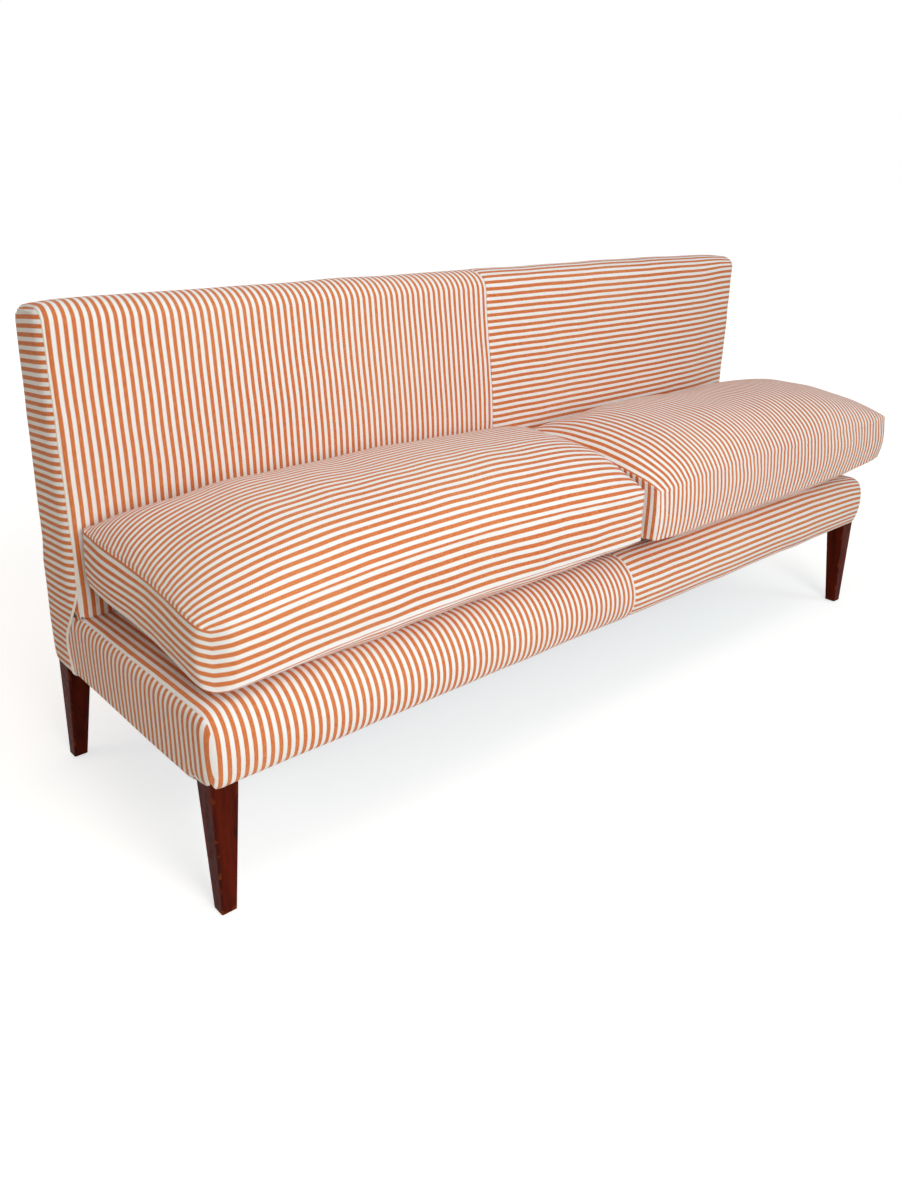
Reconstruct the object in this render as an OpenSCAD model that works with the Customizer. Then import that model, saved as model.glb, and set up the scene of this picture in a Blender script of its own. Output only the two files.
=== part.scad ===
// Banquette: a long upholstered bench with a tight back, four tapered legs
// and two loose seat cushions. X runs along the seat, Y from front to back
// and Z up. The origin is the middle of the footprint, on the floor.
// Pieces are placed from the front of the base, where Y is zero, and then
// every piece is moved back by the same distance to the origin.

/* [Overall] */
// Length over the two ends
overall_l = 1980; // [1700:10:2300]
// Height of the top of the back
overall_h = 906; // [860:2:960]
// Height of the seat deck under the cushions
deck_h = 358; // [350:1:372]
// Height of the underside of the upholstery
leg_h = 228; // [210:1:232]
// Depth of the deck, from the front of the base to the back
seat_d = 455; // [440:1:520]
// Thickness of the back where it meets the floor of the base
back_foot_t = 164; // [160:1:190]
// Thickness of the back at its top
back_top_t = 122; // [118:1:140]

/* [Legs] */
// Width of a leg where it meets the upholstery
leg_top_w = 47; // [42:1:52]
// Width of a leg at the floor
leg_foot_w = 27; // [22:1:34]
// Distance from the covers to the outer faces of a leg
leg_inset = 6; // [5:0.5:8]
// Distance that the foot of a rear leg stands behind its top
rear_kick = 18; // [0:1:30]
// Radius of a foot glide
glide_r = 9; // [7:0.5:10]
// Height of a foot glide
glide_t = 2; // [1.5:0.5:3]

/* [Timber] */
// Thickness of the rails
rail_t = 28; // [22:1:32]
// Height of the rails
rail_h = 76; // [70:1:80]
// Height of the cross rails, which lie below the webbing
cross_h = 62; // [50:1:66]
// Number of cross rails, each with a post of the back behind it
cross_n = 3; // [1:1:4]
// Width of an end post of the back above the rails
end_post_w = 58; // [50:1:70]
// Width of an inner post of the back
post_w = 32; // [26:1:40]
// Thickness of the top rail of the back
top_rail_t = 25; // [20:1:28]
// Height of the lower rail of the back
low_rail_h = 70; // [50:1:80]
// Thickness of the lower rail of the back
low_rail_t = 22; // [18:1:25]
// Length of each leg of a corner block along the rails
block_s = 92; // [86:1:110]
// Height of a corner block
block_h = 50; // [40:1:60]

/* [Fastenings] */
// Radius of a dowel
dowel_r = 5; // [4:0.5:6]
// Length of a dowel
dowel_l = 40; // [34:1:42]
// Radial play of a dowel, screw or bolt in its hole
hole_play = 0.2; // [0.1:0.05:0.3]
// Radius of a wood screw
screw_r = 2.2; // [1.8:0.1:2.6]
// Length of a wood screw
screw_l = 38; // [34:1:42]
// Radius of a wood screw's head
screw_head_r = 4.2; // [3.8:0.1:5]
// Height of a wood screw's head
screw_head_t = 3; // [2.4:0.1:3.4]
// Radius of a coach screw that holds a post of the back
coach_r = 4; // [3:0.5:5]
// Length of the shank of a coach screw
coach_l = 72; // [60:1:84]
// Radius of the head of a coach screw
coach_head_r = 7.5; // [6.5:0.5:9]
// Height of the head of a coach screw
coach_head_t = 5; // [4:0.5:6]
// Radius of the washer under a coach screw's head
washer_r = 10; // [9.5:0.5:11]
// Thickness of that washer
washer_t = 1.6; // [1.2:0.1:2]

/* [Webbing] */
// Width of a webbing strap
strap_w = 50; // [40:1:56]
// Thickness of a webbing strap
strap_t = 1.8; // [1.4:0.1:2]
// Straps from front to back under the seat
seat_cross_n = 16; // [10:1:18]
// Straps along the seat
seat_long_n = 4; // [3:1:5]
// Upright straps in the back
back_up_n = 14; // [10:1:18]
// Level straps in the back
back_level_n = 3; // [2:1:4]
// Distance that a strap is turned onto a rail
strap_lap = 20; // [12:1:22]

/* [Padding and covers] */
// Thickness of the cover cloth
fabric_t = 1.6; // [1.2:0.1:2]
// Thickness of the hessian over the webbing
hessian_t = 1; // [0.8:0.1:1.4]
// Thickness of the lining behind the outside back
lining_t = 2.2; // [1.6:0.1:2.4]
// Thickness of the black dust cover below the frame
dust_t = 0.8; // [0.6:0.1:1.2]
// Distance from the covers to the edge of the dust cover
dust_inset = 10; // [8:1:16]
// Thickness of the padding in front of the back's frame
back_pad_t = 38; // [34:1:44]
// Thickness of the padding over the top rail
pad_over = 24; // [20:1:28]
// Radius of the soft top edge of the base
base_top_r = 46; // [30:1:55]
// Radius where the covers turn under the frame
low_r = 15; // [10:1:18]
// How far the front of the base swells
base_bulge = 9; // [0:1:14]
// How far the front of the back swells at mid-length
back_bulge = 36; // [0:1:40]
// Radius of the top front edge of the back
back_front_r = 32; // [20:1:36]
// Radius of the top rear edge of the back
back_rear_r = 32; // [18:1:34]
// Fall of the top of the back where it rounds over at the ends
end_fall = 12; // [4:1:14]
// Width of the hem that is turned under the frame
hem_w = 30; // [20:1:40]
// Distance that the covers are tucked in behind the seat
tuck = 24; // [15:1:28]
// Distance that the back cover turns down behind the top
turnover = 20; // [12:1:30]
// Distance that the end panel of the base runs on behind the front of the back
panel_step = 62; // [40:1:70]
// Height above the hem where that step is complete
step_h = 66; // [50:1:80]
// Clearance between soft pieces
soft_gap = 0.3; // [0.2:0.05:0.5]

/* [Cushions] */
// Length of a seat cushion
cushion_l = 976; // [820:2:976]
// Depth of a seat cushion
cushion_d = 436; // [400:1:440]
// Height of the boxing between the two seams
boxing_h = 102; // [70:1:120]
// Rise of the crown above the upper seam
crown_top = 110; // [60:1:120]
// Depth of the belly below the lower seam, before it flattens on the deck
crown_low = 72; // [62:1:90]
// Height of the lower seam above the deck
seam_rise = 50; // [44:1:56]
// Rise of the upper seam between the corners of the front
seam_arch = 12; // [0:1:18]
// Outward swell of the boxing between its seams
boxing_swell = 5; // [3:0.5:8]
// How far the sides are drawn in between the corners
side_draw = 6; // [4:0.5:12]
// How far a free corner is pulled in
corner_draw = 8; // [6:0.5:16]
// How far a corner is pulled in where the two cushions meet
joined_draw = 4; // [3:0.5:8]
// Distance from the left end of the base to the left cushion
left_inset = 22; // [22:1:50]
// Distance from the right end of the base to the right cushion
right_inset = 4; // [4:1:50]
// Room behind the left cushion's zip, at the fullest part of the back
left_room = 5; // [5:1:30]
// Room behind the right cushion's zip, at the fullest part of the back
right_room = 16; // [5:1:30]
// How far the left cushion's front is swept back towards its free corner
left_sweep = 41; // [0:1:60]
// How far the right cushion's front is swept forward towards its free corner
right_sweep = 22; // [0:1:40]
// Fall of the left cushion's outer front corner
left_droop = 38; // [0:1:44]
// Rise of the right cushion's outer front corner
right_lift = 24; // [0:1:40]
// How far the free rear corner reaches back beside the swell of the back
rear_reach = 34; // [0:1:36]
// Play between the cover and the fibre wrap inside it
wrap_play = 6; // [5:0.5:8]
// How much shallower the belly of the fibre wrap is than the cover's
wrap_ease = 20; // [16:1:26]
// Length of the foam core
core_l = 748; // [600:2:780]
// Depth of the foam core
core_d = 290; // [240:2:320]
// Height of the foam core
core_h = 110; // [80:1:120]

/* [Zips] */
// Length of a zip
zip_l = 620; // [400:5:640]
// Straight boxing past each end of a zip
zip_clear = 30; // [30:1:60]
// Height of the zip's tape
tape_h = 28; // [22:1:34]
// Thickness of the zip's tape
tape_t = 0.9; // [0.6:0.1:1.2]
// Height of the chain of teeth
chain_h = 6; // [5:0.5:8]
// Thickness of the chain
chain_t = 1.8; // [1.4:0.1:2.2]
// Length of the slider
slider_l = 12; // [9:0.5:16]
// Wall of the slider
slider_wall = 1.2; // [1:0.1:1.6]
// Running clearance of the slider
slider_play = 0.3; // [0.25:0.05:0.4]
// Width of the slider's pull
pull_w = 6; // [4:0.5:7]
// Length of the slider's pull
pull_l = 24; // [16:1:30]
// Length of a stop at the end of a zip
stop_l = 4; // [3:0.5:6]

/* [Hidden] */
$fn = 40;
arc_steps = 8;
swell_steps = 6;
over = 1;
leg_hue = "#5a1f10";
timber_hue = "#c9a66b";
dowel_hue = "#e0c48c";
steel_hue = "#9a9da1";
jute_hue = "#b58f5a";
hessian_hue = "#a8875a";
foam_hue = "#efe3a8";
fibre_hue = "#f3f1ea";
lining_hue = "#d8cdb8";
dust_hue = "#26262a";
stripe_hue = "#d98a5c";
panel_hue = "#e6b394";
half_l = overall_l / 2;
leg_out = half_l - leg_inset;
leg_in = leg_out - leg_top_w;
rear_y = seat_d + back_foot_t;
rear_top_y = seat_d + back_top_t;
rear_leg_y = rear_y - leg_inset - leg_top_w;
rear_foot_y = rear_y - leg_inset + rear_kick;
rail_low = leg_h + fabric_t;
rail_top = rail_low + rail_h;
rail_in = leg_out - rail_t;
weave_t = strap_t * 2 + soft_gap;
hessian_z = rail_top + weave_t + soft_gap;
back_frame_y = seat_d + back_pad_t;
seat_inner_y = leg_inset + rail_t;
seat_rail_y = back_frame_y - rail_t;
rear_rail_y = rear_y - leg_inset - rail_t;
post_front = back_frame_y + low_rail_t;
pad_top = hessian_z + hessian_t + soft_gap;
top_rail_z = overall_h - fabric_t - pad_over - top_rail_t;
low_rail_z = deck_h + tuck / 2;
turn_z = overall_h - back_rear_r - turnover;
dowel_shares = [0.26, 0.74];
coach_shares = [0.18, 0.82];
core_z = deck_h + seam_rise + (boxing_h - core_h) / 2;
left_cushion_x = -half_l + left_inset + cushion_l / 2;
right_cushion_x = half_l - right_inset - cushion_l / 2;
back_face_y = seat_d - back_bulge;
left_cushion_y = back_face_y - left_room - cushion_d / 2;
right_cushion_y = back_face_y - right_room - cushion_d / 2;
cushion_nu = 20;
cushion_nv = 10;
boxing_n = 3;
wrap_nu = 10;
wrap_nv = 6;
free_u_power = 3.6;
joined_u_power = 8;
joined_crown_share = 0.33;
joined_slant_share = 0.5;
crown_v_power = 2.4;
crown_power = 0.8;
edge_power = 2;
corner_power = 12;
joined_swell_share = 0.25;
swell_x_power = 4;
swell_lean = 0.5;
end_fall_power = 20;
zip_share = (zip_l + 2 * zip_clear) / cushion_l;
fall_u_power = 3;
fall_v_power = 1.5;
crowding_share = 0.5;
// Each cushion: side of its free corner, the height that the corner gains, how
// far back its front edge is swept there, and the depth of its belly
left_spec = [-1, -left_droop, left_sweep, crown_low];
right_spec = [1, right_lift, -right_sweep, crown_low];
front_most = min([for (p = cushion_points(right_spec, 0, cushion_nu, cushion_nv)) p[1]]) + right_cushion_y;
rear_most = max(rear_foot_y, rear_y);
middle_y = (front_most + rear_most) / 2;

// Helpers

function mix(a, b, t) = a + (b - a) * t;
// Places from one end to another, crowded at the first
function stations(from, to, n) = [for (i = [0 : n]) mix(from, to, 1 - cos(90 * i / n))];
function ease(t) = t * t * (3 - 2 * t);
function reversed(list) = [for (i = [len(list) - 1 : -1 : 0]) list[i]];
function arc(centre, r, from, to) =
    [for (i = [0 : arc_steps]) centre + r * [cos(mix(from, to, i / arc_steps)), sin(mix(from, to, i / arc_steps))]];

// Moves a piece from the base's front edge to the part's origin
module placed() translate([0, -middle_y, 0]) children();

// Extrudes an outline drawn in Y and Z along X
module along_x(x0, x1) translate([x0, 0, 0]) rotate([90, 0, 90]) linear_extrude(x1 - x0) children();

// Extrudes an outline drawn in X and Z along Y
module along_y(y0, y1) translate([0, y1, 0]) rotate([90, 0, 0]) linear_extrude(y1 - y0) children();

// A box between two corners
module block(low, high) translate(low) cube(high - low);

// Both ends: the piece and its mirror image
module both_ends() {
    children();
    mirror([1, 0, 0]) children();
}

module x_pin(r, l) rotate([0, 90, 0]) cylinder(h = l, r = r);
module y_pin(r, l) rotate([-90, 0, 0]) cylinder(h = l, r = r);

// Outlines of the base and the back, set in from the covers' outer surface by e

function base_swell(z) = base_bulge * sin(180 * max(0, min(1, (z - leg_h) / (deck_h - leg_h))));
// The back swells most at mid-length and a third of the way up, and not at its ends
function back_swell(x, z) = let (t = max(0, min(1, (z - deck_h) / (overall_h - deck_h))))
    back_bulge * (1 - pow(abs(x / half_l), swell_x_power)) * sin(180 * (t + swell_lean * t * (1 - t)));

function base_front(e) = [
    for (p = concat(
        arc([low_r, leg_h + low_r], low_r - e, 270, 180),
        [for (i = [1 : swell_steps - 1]) [e, mix(leg_h + low_r, deck_h - base_top_r, i / swell_steps)]],
        arc([base_top_r, deck_h - base_top_r], base_top_r - e, 180, 90)
    )) [p[0] - base_swell(p[1]), p[1]]
];

// The top is pressed down towards the ends, above the line where its cover is turned down
function end_z(x, z) =
    z - end_fall * pow(abs(x / half_l), end_fall_power) * max(0, (z - turn_z) / (overall_h - turn_z));

function back_front(e, z0, x) = [
    for (p = concat(
        [for (i = [0 : swell_steps * 2 - 1]) [seat_d + e, mix(z0, overall_h - back_front_r, i / (swell_steps * 2))]],
        arc([seat_d + back_front_r, overall_h - back_front_r], back_front_r - e, 180, 90)
    )) [p[0] - back_swell(x, p[1]), end_z(x, p[1])]
];

function rear_line(z, e) =
    mix(rear_y, rear_top_y, max(0, (z - rail_top) / (overall_h - back_rear_r - rail_top))) - e;

function back_top_rear(e, x) = [
    for (p = arc([rear_top_y - back_rear_r, overall_h - back_rear_r], back_rear_r - e, 90, 0)) [p[0], end_z(x, p[1])]
];

function rear_foot(e) = concat(
    [[rear_y - e, rail_top]],
    arc([rear_y - low_r, leg_h + low_r], low_r - e, 0, -90)
);

// Edge between the two end panels, from the deck down to the hem
function step_edge(g) = concat(
    [for (i = [0 : arc_steps]) [
        seat_d + g + panel_step * ease(i / arc_steps),
        mix(deck_h, leg_h + step_h, i / arc_steps)
    ]],
    [[seat_d + g + panel_step, leg_h]]
);

// A strip of cloth or padding between two parallel paths
module strip(outer, inner) polygon(concat(outer, reversed(inner)));

// A solid whose outline in Y and Z changes along X. Each station has the same
// number of points, and runs anticlockwise as seen from the left end. Its first
// point sees all the others. The outline of a cloth runs out along one face and
// back along the other. Quads are split alike on both faces.
module loft(xs, outlines, is_cloth = false) {
    n = len(outlines[0]);
    last = len(xs) - 1;
    back_from = is_cloth ? n / 2 : n;
    cap = is_cloth
        ? flat_list([for (k = [0 : n / 2 - 2]) quad(k, k + 1, n - 2 - k, n - 1 - k)])
        : [[for (k = [0 : n - 1]) k]];
    polyhedron(
        [for (i = [0 : last], p = outlines[i]) [xs[i], p[0], p[1]]],
        concat(
            [for (face = cap) reversed(face)],
            [for (face = cap) [for (k = face) last * n + k]],
            flat_list([for (i = [0 : last - 1], k = [0 : n - 1]) let (
                a = i * n + k, b = a + n, c = (i + 1) * n + (k + 1) % n, d = c - n
            ) (xs[i] + xs[i + 1] > 0) == (k < back_from) ? quad(b, a, d, c) : quad(a, d, c, b)])
        )
    );
}

// Timber and legs

// A leg drawn at the left front corner: plumb outside, tapered inside, with a
// square block above that takes the rails. Its foot stands kick further back.
module leg_solid(kick, taper_front) {
    foot_gain = leg_top_w - leg_foot_w;
    y_foot = kick + (taper_front ? foot_gain : 0);
    intersection() {
        along_y(-leg_top_w, leg_top_w * 2) polygon([
            [0, glide_t], [leg_foot_w, glide_t], [leg_top_w, leg_h], [leg_top_w, rail_top], [0, rail_top]
        ]);
        along_x(-leg_top_w, leg_top_w * 2) polygon([
            [y_foot, glide_t], [y_foot + leg_foot_w, glide_t],
            [leg_top_w, leg_h], [leg_top_w, rail_top], [0, rail_top], [0, leg_h]
        ]);
    }
}

// Middle of a foot glide, measured from the leg's outer front corner
function glide_at(kick, taper_front) = [
    leg_foot_w / 2,
    kick + (taper_front ? leg_top_w - leg_foot_w : 0) + leg_foot_w / 2
];

nail_r = glide_r / 6;
nail_l = glide_r * 1.5;

module glide_hole(kick, taper_front)
    translate(concat(glide_at(kick, taper_front), [glide_t - over]))
        cylinder(h = nail_l + over + soft_gap, r = nail_r + hole_play);

module glide(kick, taper_front)
    translate(concat(glide_at(kick, taper_front), [0])) {
        cylinder(h = glide_t, r = glide_r);
        cylinder(h = glide_t + nail_l, r = nail_r);
    }

module front_leg()
    difference() {
        translate([-leg_out, leg_inset, 0]) difference() {
            leg_solid(0, false);
            glide_hole(0, false);
        }
        front_dowel_holes();
        end_dowel_holes();
    }

module rear_leg()
    difference() {
        translate([-leg_out, rear_leg_y, 0]) difference() {
            leg_solid(rear_kick, true);
            glide_hole(rear_kick, true);
        }
        rear_dowel_holes();
        end_dowel_holes();
    }

module front_leg_left() placed() color(leg_hue) front_leg();
module front_leg_right() placed() color(leg_hue) mirror([1, 0, 0]) front_leg();
module rear_leg_left() placed() color(leg_hue) rear_leg();
module rear_leg_right() placed() color(leg_hue) mirror([1, 0, 0]) rear_leg();

module foot_glides() placed() color(steel_hue) both_ends() {
    translate([-leg_out, leg_inset, 0]) glide(0, false);
    translate([-leg_out, rear_leg_y, 0]) glide(rear_kick, true);
}

// Heights of the two dowels in a rail's end
function rail_zs() = [for (s = dowel_shares) rail_low + rail_h * s];
function cross_zs() = [for (s = dowel_shares) rail_low + cross_h * s];

// A dowel lies half in each of the two pieces that it joins. Its hole is grown all round.
module x_dowel(x, y, z, grow) translate([x - dowel_l / 2 - grow, y, z]) x_pin(dowel_r + grow, dowel_l + grow * 2);
module y_dowel(x, y, z, grow) translate([x, y - dowel_l / 2 - grow, z]) y_pin(dowel_r + grow, dowel_l + grow * 2);
module z_dowel(x, y, z, grow) translate([x, y, z - dowel_l / 2 - grow]) cylinder(h = dowel_l + grow * 2, r = dowel_r + grow);

module front_dowels(grow) for (z = rail_zs()) x_dowel(-leg_in, leg_inset + rail_t / 2, z, grow);
module rear_dowels(grow) for (z = rail_zs()) x_dowel(-leg_in, rear_rail_y + rail_t / 2, z, grow);
module end_dowels(grow)
    for (z = rail_zs(), y = [leg_inset + leg_top_w, rear_leg_y]) y_dowel(-leg_out + rail_t / 2, y, z, grow);
module seat_rail_dowels(grow) x_dowel(-rail_in, seat_rail_y + rail_t / 2, rail_low + rail_h / 2, grow);
module cross_dowels(grow)
    for (x = cross_xs(), z = cross_zs(), y = [seat_inner_y, seat_rail_y]) y_dowel(x, y, z, grow);

module front_dowel_holes() front_dowels(hole_play);
module rear_dowel_holes() rear_dowels(hole_play);
module end_dowel_holes() end_dowels(hole_play);

function cross_xs() = [for (i = [1 : cross_n]) mix(-rail_in, rail_in, i / (cross_n + 1))];

module frame_dowels() placed() color(dowel_hue) {
    both_ends() {
        front_dowels(0);
        rear_dowels(0);
        end_dowels(0);
        seat_rail_dowels(0);
    }
    cross_dowels(0);
}

// A long rail's section, from its outer face at zero inwards. Its lower outer
// edge is planed off, so that the cover turns round it.
rail_chamfer = low_r - leg_inset;
module rail_section() polygon([
    [0, rail_top], [0, rail_low + rail_chamfer], [rail_chamfer, rail_low], [rail_t, rail_low], [rail_t, rail_top]
]);

module front_rail() placed() color(timber_hue) difference() {
    along_x(-leg_in, leg_in) translate([leg_inset, 0]) rail_section();
    both_ends() front_dowel_holes();
    both_ends() block_screw_holes(seat_inner_y, 1);
    cross_dowels(hole_play);
}

module rear_rail() placed() color(timber_hue) difference() {
    along_x(-leg_in, leg_in) translate([rear_y - leg_inset, 0]) mirror([1, 0]) rail_section();
    both_ends() rear_dowel_holes();
}

module seat_rear_rail() placed() color(timber_hue) difference() {
    block([-rail_in, seat_rail_y, rail_low], [rail_in, seat_rail_y + rail_t, rail_top]);
    both_ends() seat_rail_dowels(hole_play);
    both_ends() block_screw_holes(seat_rail_y, -1);
    cross_dowels(hole_play);
    coach_holes();
}

module end_rail() difference() {
    block([-leg_out, leg_inset + leg_top_w, rail_low], [-rail_in, rear_leg_y, rail_top]);
    end_dowel_holes();
    seat_rail_dowels(hole_play);
    block_screw_holes(seat_inner_y, 1);
    block_screw_holes(seat_rail_y, -1);
}

module end_rail_left() placed() color(timber_hue) end_rail();
module end_rail_right() placed() color(timber_hue) mirror([1, 0, 0]) end_rail();

module cross_rails() placed() color(timber_hue) difference() {
    for (x = cross_xs())
        block([x - rail_t / 2, seat_inner_y, rail_low], [x + rail_t / 2, seat_rail_y, rail_low + cross_h]);
    cross_dowels(hole_play);
}

// Corner blocks, screwed to both rails of a corner. y is a rail's inner face,
// and way is 1 at the front, where the block is notched round the leg's head,
// and -1 at the seat's rear rail.
leg_notch_w = leg_top_w - rail_t + soft_gap;
block_z = rail_low + (rail_h - block_h) / 2;
screw_at = (block_s + leg_notch_w) / 2;
screw_sunk = screw_l - rail_t / 1.4;

module at_corner(y, way) translate([-rail_in, y, block_z]) mirror([0, way < 0 ? 1 : 0, 0]) children();

module corner_block(y, way)
    difference() {
        at_corner(y, way) linear_extrude(block_h) difference() {
            polygon([[0, 0], [block_s, 0], [0, block_s]]);
            if (way > 0) square(leg_notch_w);
        }
        block_screw_holes(y, way);
    }

// The screws' axes: one square to each rail
module at_block_screws(y, way) at_corner(y, way) translate([0, 0, block_h / 2]) {
    translate([screw_at, screw_sunk, block_h / 5]) rotate([90, 0, 0]) children();
    translate([screw_sunk, screw_at, -block_h / 5]) rotate([0, -90, 0]) children();
}

module block_screw_holes(y, way) at_block_screws(y, way) {
    cylinder(h = screw_l + hole_play, r = screw_r + hole_play);
    translate([0, 0, -block_s]) cylinder(h = block_s, r = screw_head_r + hole_play);
}

module block_screw() {
    cylinder(h = screw_l, r = screw_r);
    translate([0, 0, -screw_head_t]) cylinder(h = screw_head_t, r = screw_head_r);
}

module corner_blocks() placed() color(timber_hue) both_ends() {
    corner_block(seat_inner_y, 1);
    corner_block(seat_rail_y, -1);
}

module block_screws() placed() color(steel_hue) both_ends() {
    at_block_screws(seat_inner_y, 1) block_screw();
    at_block_screws(seat_rail_y, -1) block_screw();
}

// Frame of the back

function post_rear(z) = rear_line(z, leg_inset);
post_z = rail_top + soft_gap;
lap_in = rail_in - soft_gap;
end_post_in = leg_out - end_post_w;

// An end post stands on the end rail and laps inside it
module end_post() difference() {
    union() {
        along_x(-leg_out, -end_post_in) polygon([
            [back_frame_y, rail_top], [post_rear(rail_top), rail_top],
            [post_rear(top_rail_z), top_rail_z], [back_frame_y, top_rail_z]
        ]);
        block([-lap_in, back_frame_y, rail_low], [-end_post_in, rear_leg_y - soft_gap, rail_top]);
    }
    block([-leg_out - over, rear_leg_y - soft_gap, rail_top - over], [-end_post_in + over, rear_y, post_z]);
    coach_holes();
    end_top_dowels(hole_play);
    low_rail_dowels(hole_play);
}

module back_post_left() placed() color(timber_hue) end_post();
module back_post_right() placed() color(timber_hue) mirror([1, 0, 0]) end_post();

module back_inner_posts() placed() color(timber_hue) difference() {
    for (x = cross_xs())
        along_x(x - post_w / 2, x + post_w / 2) polygon([
            [back_frame_y, rail_low], [rear_rail_y - soft_gap, rail_low], [rear_rail_y - soft_gap, post_z],
            [post_rear(post_z), post_z], [post_rear(top_rail_z), top_rail_z],
            [post_front, top_rail_z], [post_front, low_rail_z], [back_frame_y, low_rail_z]
        ]);
    coach_holes();
    inner_top_dowels(hole_play);
}

module back_top_rail() placed() color(timber_hue) difference() {
    along_x(-leg_out, leg_out) polygon([
        [back_frame_y, top_rail_z], [post_rear(top_rail_z), top_rail_z],
        [post_rear(top_rail_z + top_rail_t), top_rail_z + top_rail_t], [back_frame_y, top_rail_z + top_rail_t]
    ]);
    both_ends() end_top_dowels(hole_play);
    inner_top_dowels(hole_play);
}

module back_lower_rail() placed() color(timber_hue) difference() {
    block([-end_post_in, back_frame_y, low_rail_z], [end_post_in, post_front, low_rail_z + low_rail_h]);
    both_ends() low_rail_dowels(hole_play);
}

// Dowels of the back: upright ones are half as long, to stay within the top rail
top_dowel_y = (post_front + post_rear(top_rail_z)) / 2;

module upright_dowel(x, grow)
    translate([x, top_dowel_y, top_rail_z - dowel_l / 2 - grow])
        cylinder(h = dowel_l / 2 + top_rail_t * 0.6 + grow * 2, r = dowel_r + grow);
module end_top_dowels(grow) for (s = dowel_shares) upright_dowel(mix(-leg_out, -end_post_in, s), grow);
module inner_top_dowels(grow) for (x = cross_xs()) upright_dowel(x, grow);
module low_rail_dowels(grow)
    for (s = dowel_shares) x_dowel(-end_post_in, back_frame_y + low_rail_t / 2, low_rail_z + low_rail_h * s, grow);

module back_dowels() placed() color(dowel_hue) {
    both_ends() {
        end_top_dowels(0);
        low_rail_dowels(0);
    }
    inner_top_dowels(0);
}

// Coach screws run back through the seat's rear rail into each post, clear of the dowels
end_coach_x = (lap_in + end_post_in) / 2;
inner_coach_x = post_w / 2 - coach_r * 1.5;
head_sink = coach_head_t + washer_t;

function coach_places() = concat(
    [for (x = [-end_coach_x, end_coach_x], s = coach_shares) [x, rail_low + rail_h * s]],
    [for (x = cross_xs(), z = [rail_low + cross_h / 2, rail_low + rail_h * coach_shares[1]]) [x + inner_coach_x, z]]
);

module at_coach_screws()
    for (place = coach_places()) translate([place[0], seat_rail_y, place[1]]) children();

module coach_holes() at_coach_screws() {
    translate([0, -over, 0]) y_pin(washer_r + hole_play, head_sink + over);
    y_pin(coach_r + hole_play, head_sink + coach_l + hole_play);
}

module coach_screws() placed() color(steel_hue) at_coach_screws() {
    y_pin(coach_head_r, coach_head_t);
    y_pin(coach_r, head_sink + coach_l);
}

module coach_washers() placed() color(steel_hue) at_coach_screws() translate([0, coach_head_t, 0]) difference() {
    y_pin(washer_r, washer_t);
    translate([0, -over, 0]) y_pin(coach_r + hole_play, washer_t + over * 2);
}

// Webbing: straps that pass over and under each other. Along a strap, each
// crossing is a flat stretch, high or low, and both ends lie low on the rails.

function level(side) = side * (strap_t + soft_gap) / 2;
function strap_path(start, stop, crossings, first) = concat(
    [[start, level(-1)], [start + strap_lap, level(-1)]],
    [for (i = [0 : len(crossings) - 1], end = [-1, 1])
        [crossings[i] + end * (strap_w / 2 + strap_t), level(((i + first) % 2) * 2 - 1)]],
    [[stop - strap_lap, level(-1)], [stop, level(-1)]]
);
module strap(start, stop, crossings, first) {
    path = strap_path(start, stop, crossings, first);
    strip([for (p = path) p + [0, strap_t / 2]], [for (p = path) p - [0, strap_t / 2]]);
}

seat_weave_z = rail_top + weave_t / 2;
function seat_long_ys() = [for (i = [0 : seat_long_n - 1]) mix(seat_inner_y, seat_rail_y, (i + 0.5) / seat_long_n)];
function seat_cross_xs() = [for (i = [0 : seat_cross_n - 1]) mix(-rail_in, rail_in, (i + 0.5) / seat_cross_n)];

module seat_webbing_cross() placed() color(jute_hue)
    for (i = [0 : seat_cross_n - 1])
        translate([0, 0, seat_weave_z])
            along_x(seat_cross_xs()[i] - strap_w / 2, seat_cross_xs()[i] + strap_w / 2)
                strap(seat_inner_y - strap_lap, seat_rail_y + strap_lap, seat_long_ys(), i % 2);

module seat_webbing_long() placed() color(jute_hue)
    for (j = [0 : seat_long_n - 1])
        translate([0, 0, seat_weave_z])
            along_y(seat_long_ys()[j] - strap_w / 2, seat_long_ys()[j] + strap_w / 2)
                strap(-rail_in - strap_lap, rail_in + strap_lap, seat_cross_xs(), (j + 1) % 2);

// The back's webbing lies on the front of its frame, so its low side faces the rear
back_weave_y = back_frame_y - weave_t / 2;
back_low_z = low_rail_z + low_rail_h;
function back_level_zs() = [for (i = [0 : back_level_n - 1]) mix(back_low_z, top_rail_z, (i + 0.5) / back_level_n)];
function back_up_xs() = [for (i = [0 : back_up_n - 1]) mix(-end_post_in, end_post_in, (i + 0.5) / back_up_n)];

module back_webbing_upright() placed() color(jute_hue)
    for (i = [0 : back_up_n - 1])
        translate([back_up_xs()[i] - strap_w / 2, back_weave_y, 0])
            rotate([90, 0, 90]) linear_extrude(strap_w) rotate([0, 0, 90])
                strap(back_low_z - strap_lap, top_rail_z + strap_lap, back_level_zs(), i % 2);

module back_webbing_level() placed() color(jute_hue)
    for (j = [0 : back_level_n - 1])
        translate([0, back_weave_y, back_level_zs()[j] + strap_w / 2])
            rotate([180, 0, 0]) linear_extrude(strap_w)
                strap(-end_post_in - strap_lap, end_post_in + strap_lap, back_up_xs(), (j + 1) % 2);

// Hessian and padding

soft_out = leg_out;
inside_e = fabric_t + soft_gap;

module seat_hessian() placed() color(hessian_hue)
    block([-soft_out, leg_inset, hessian_z], [soft_out, back_frame_y - soft_gap, hessian_z + hessian_t]);

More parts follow.
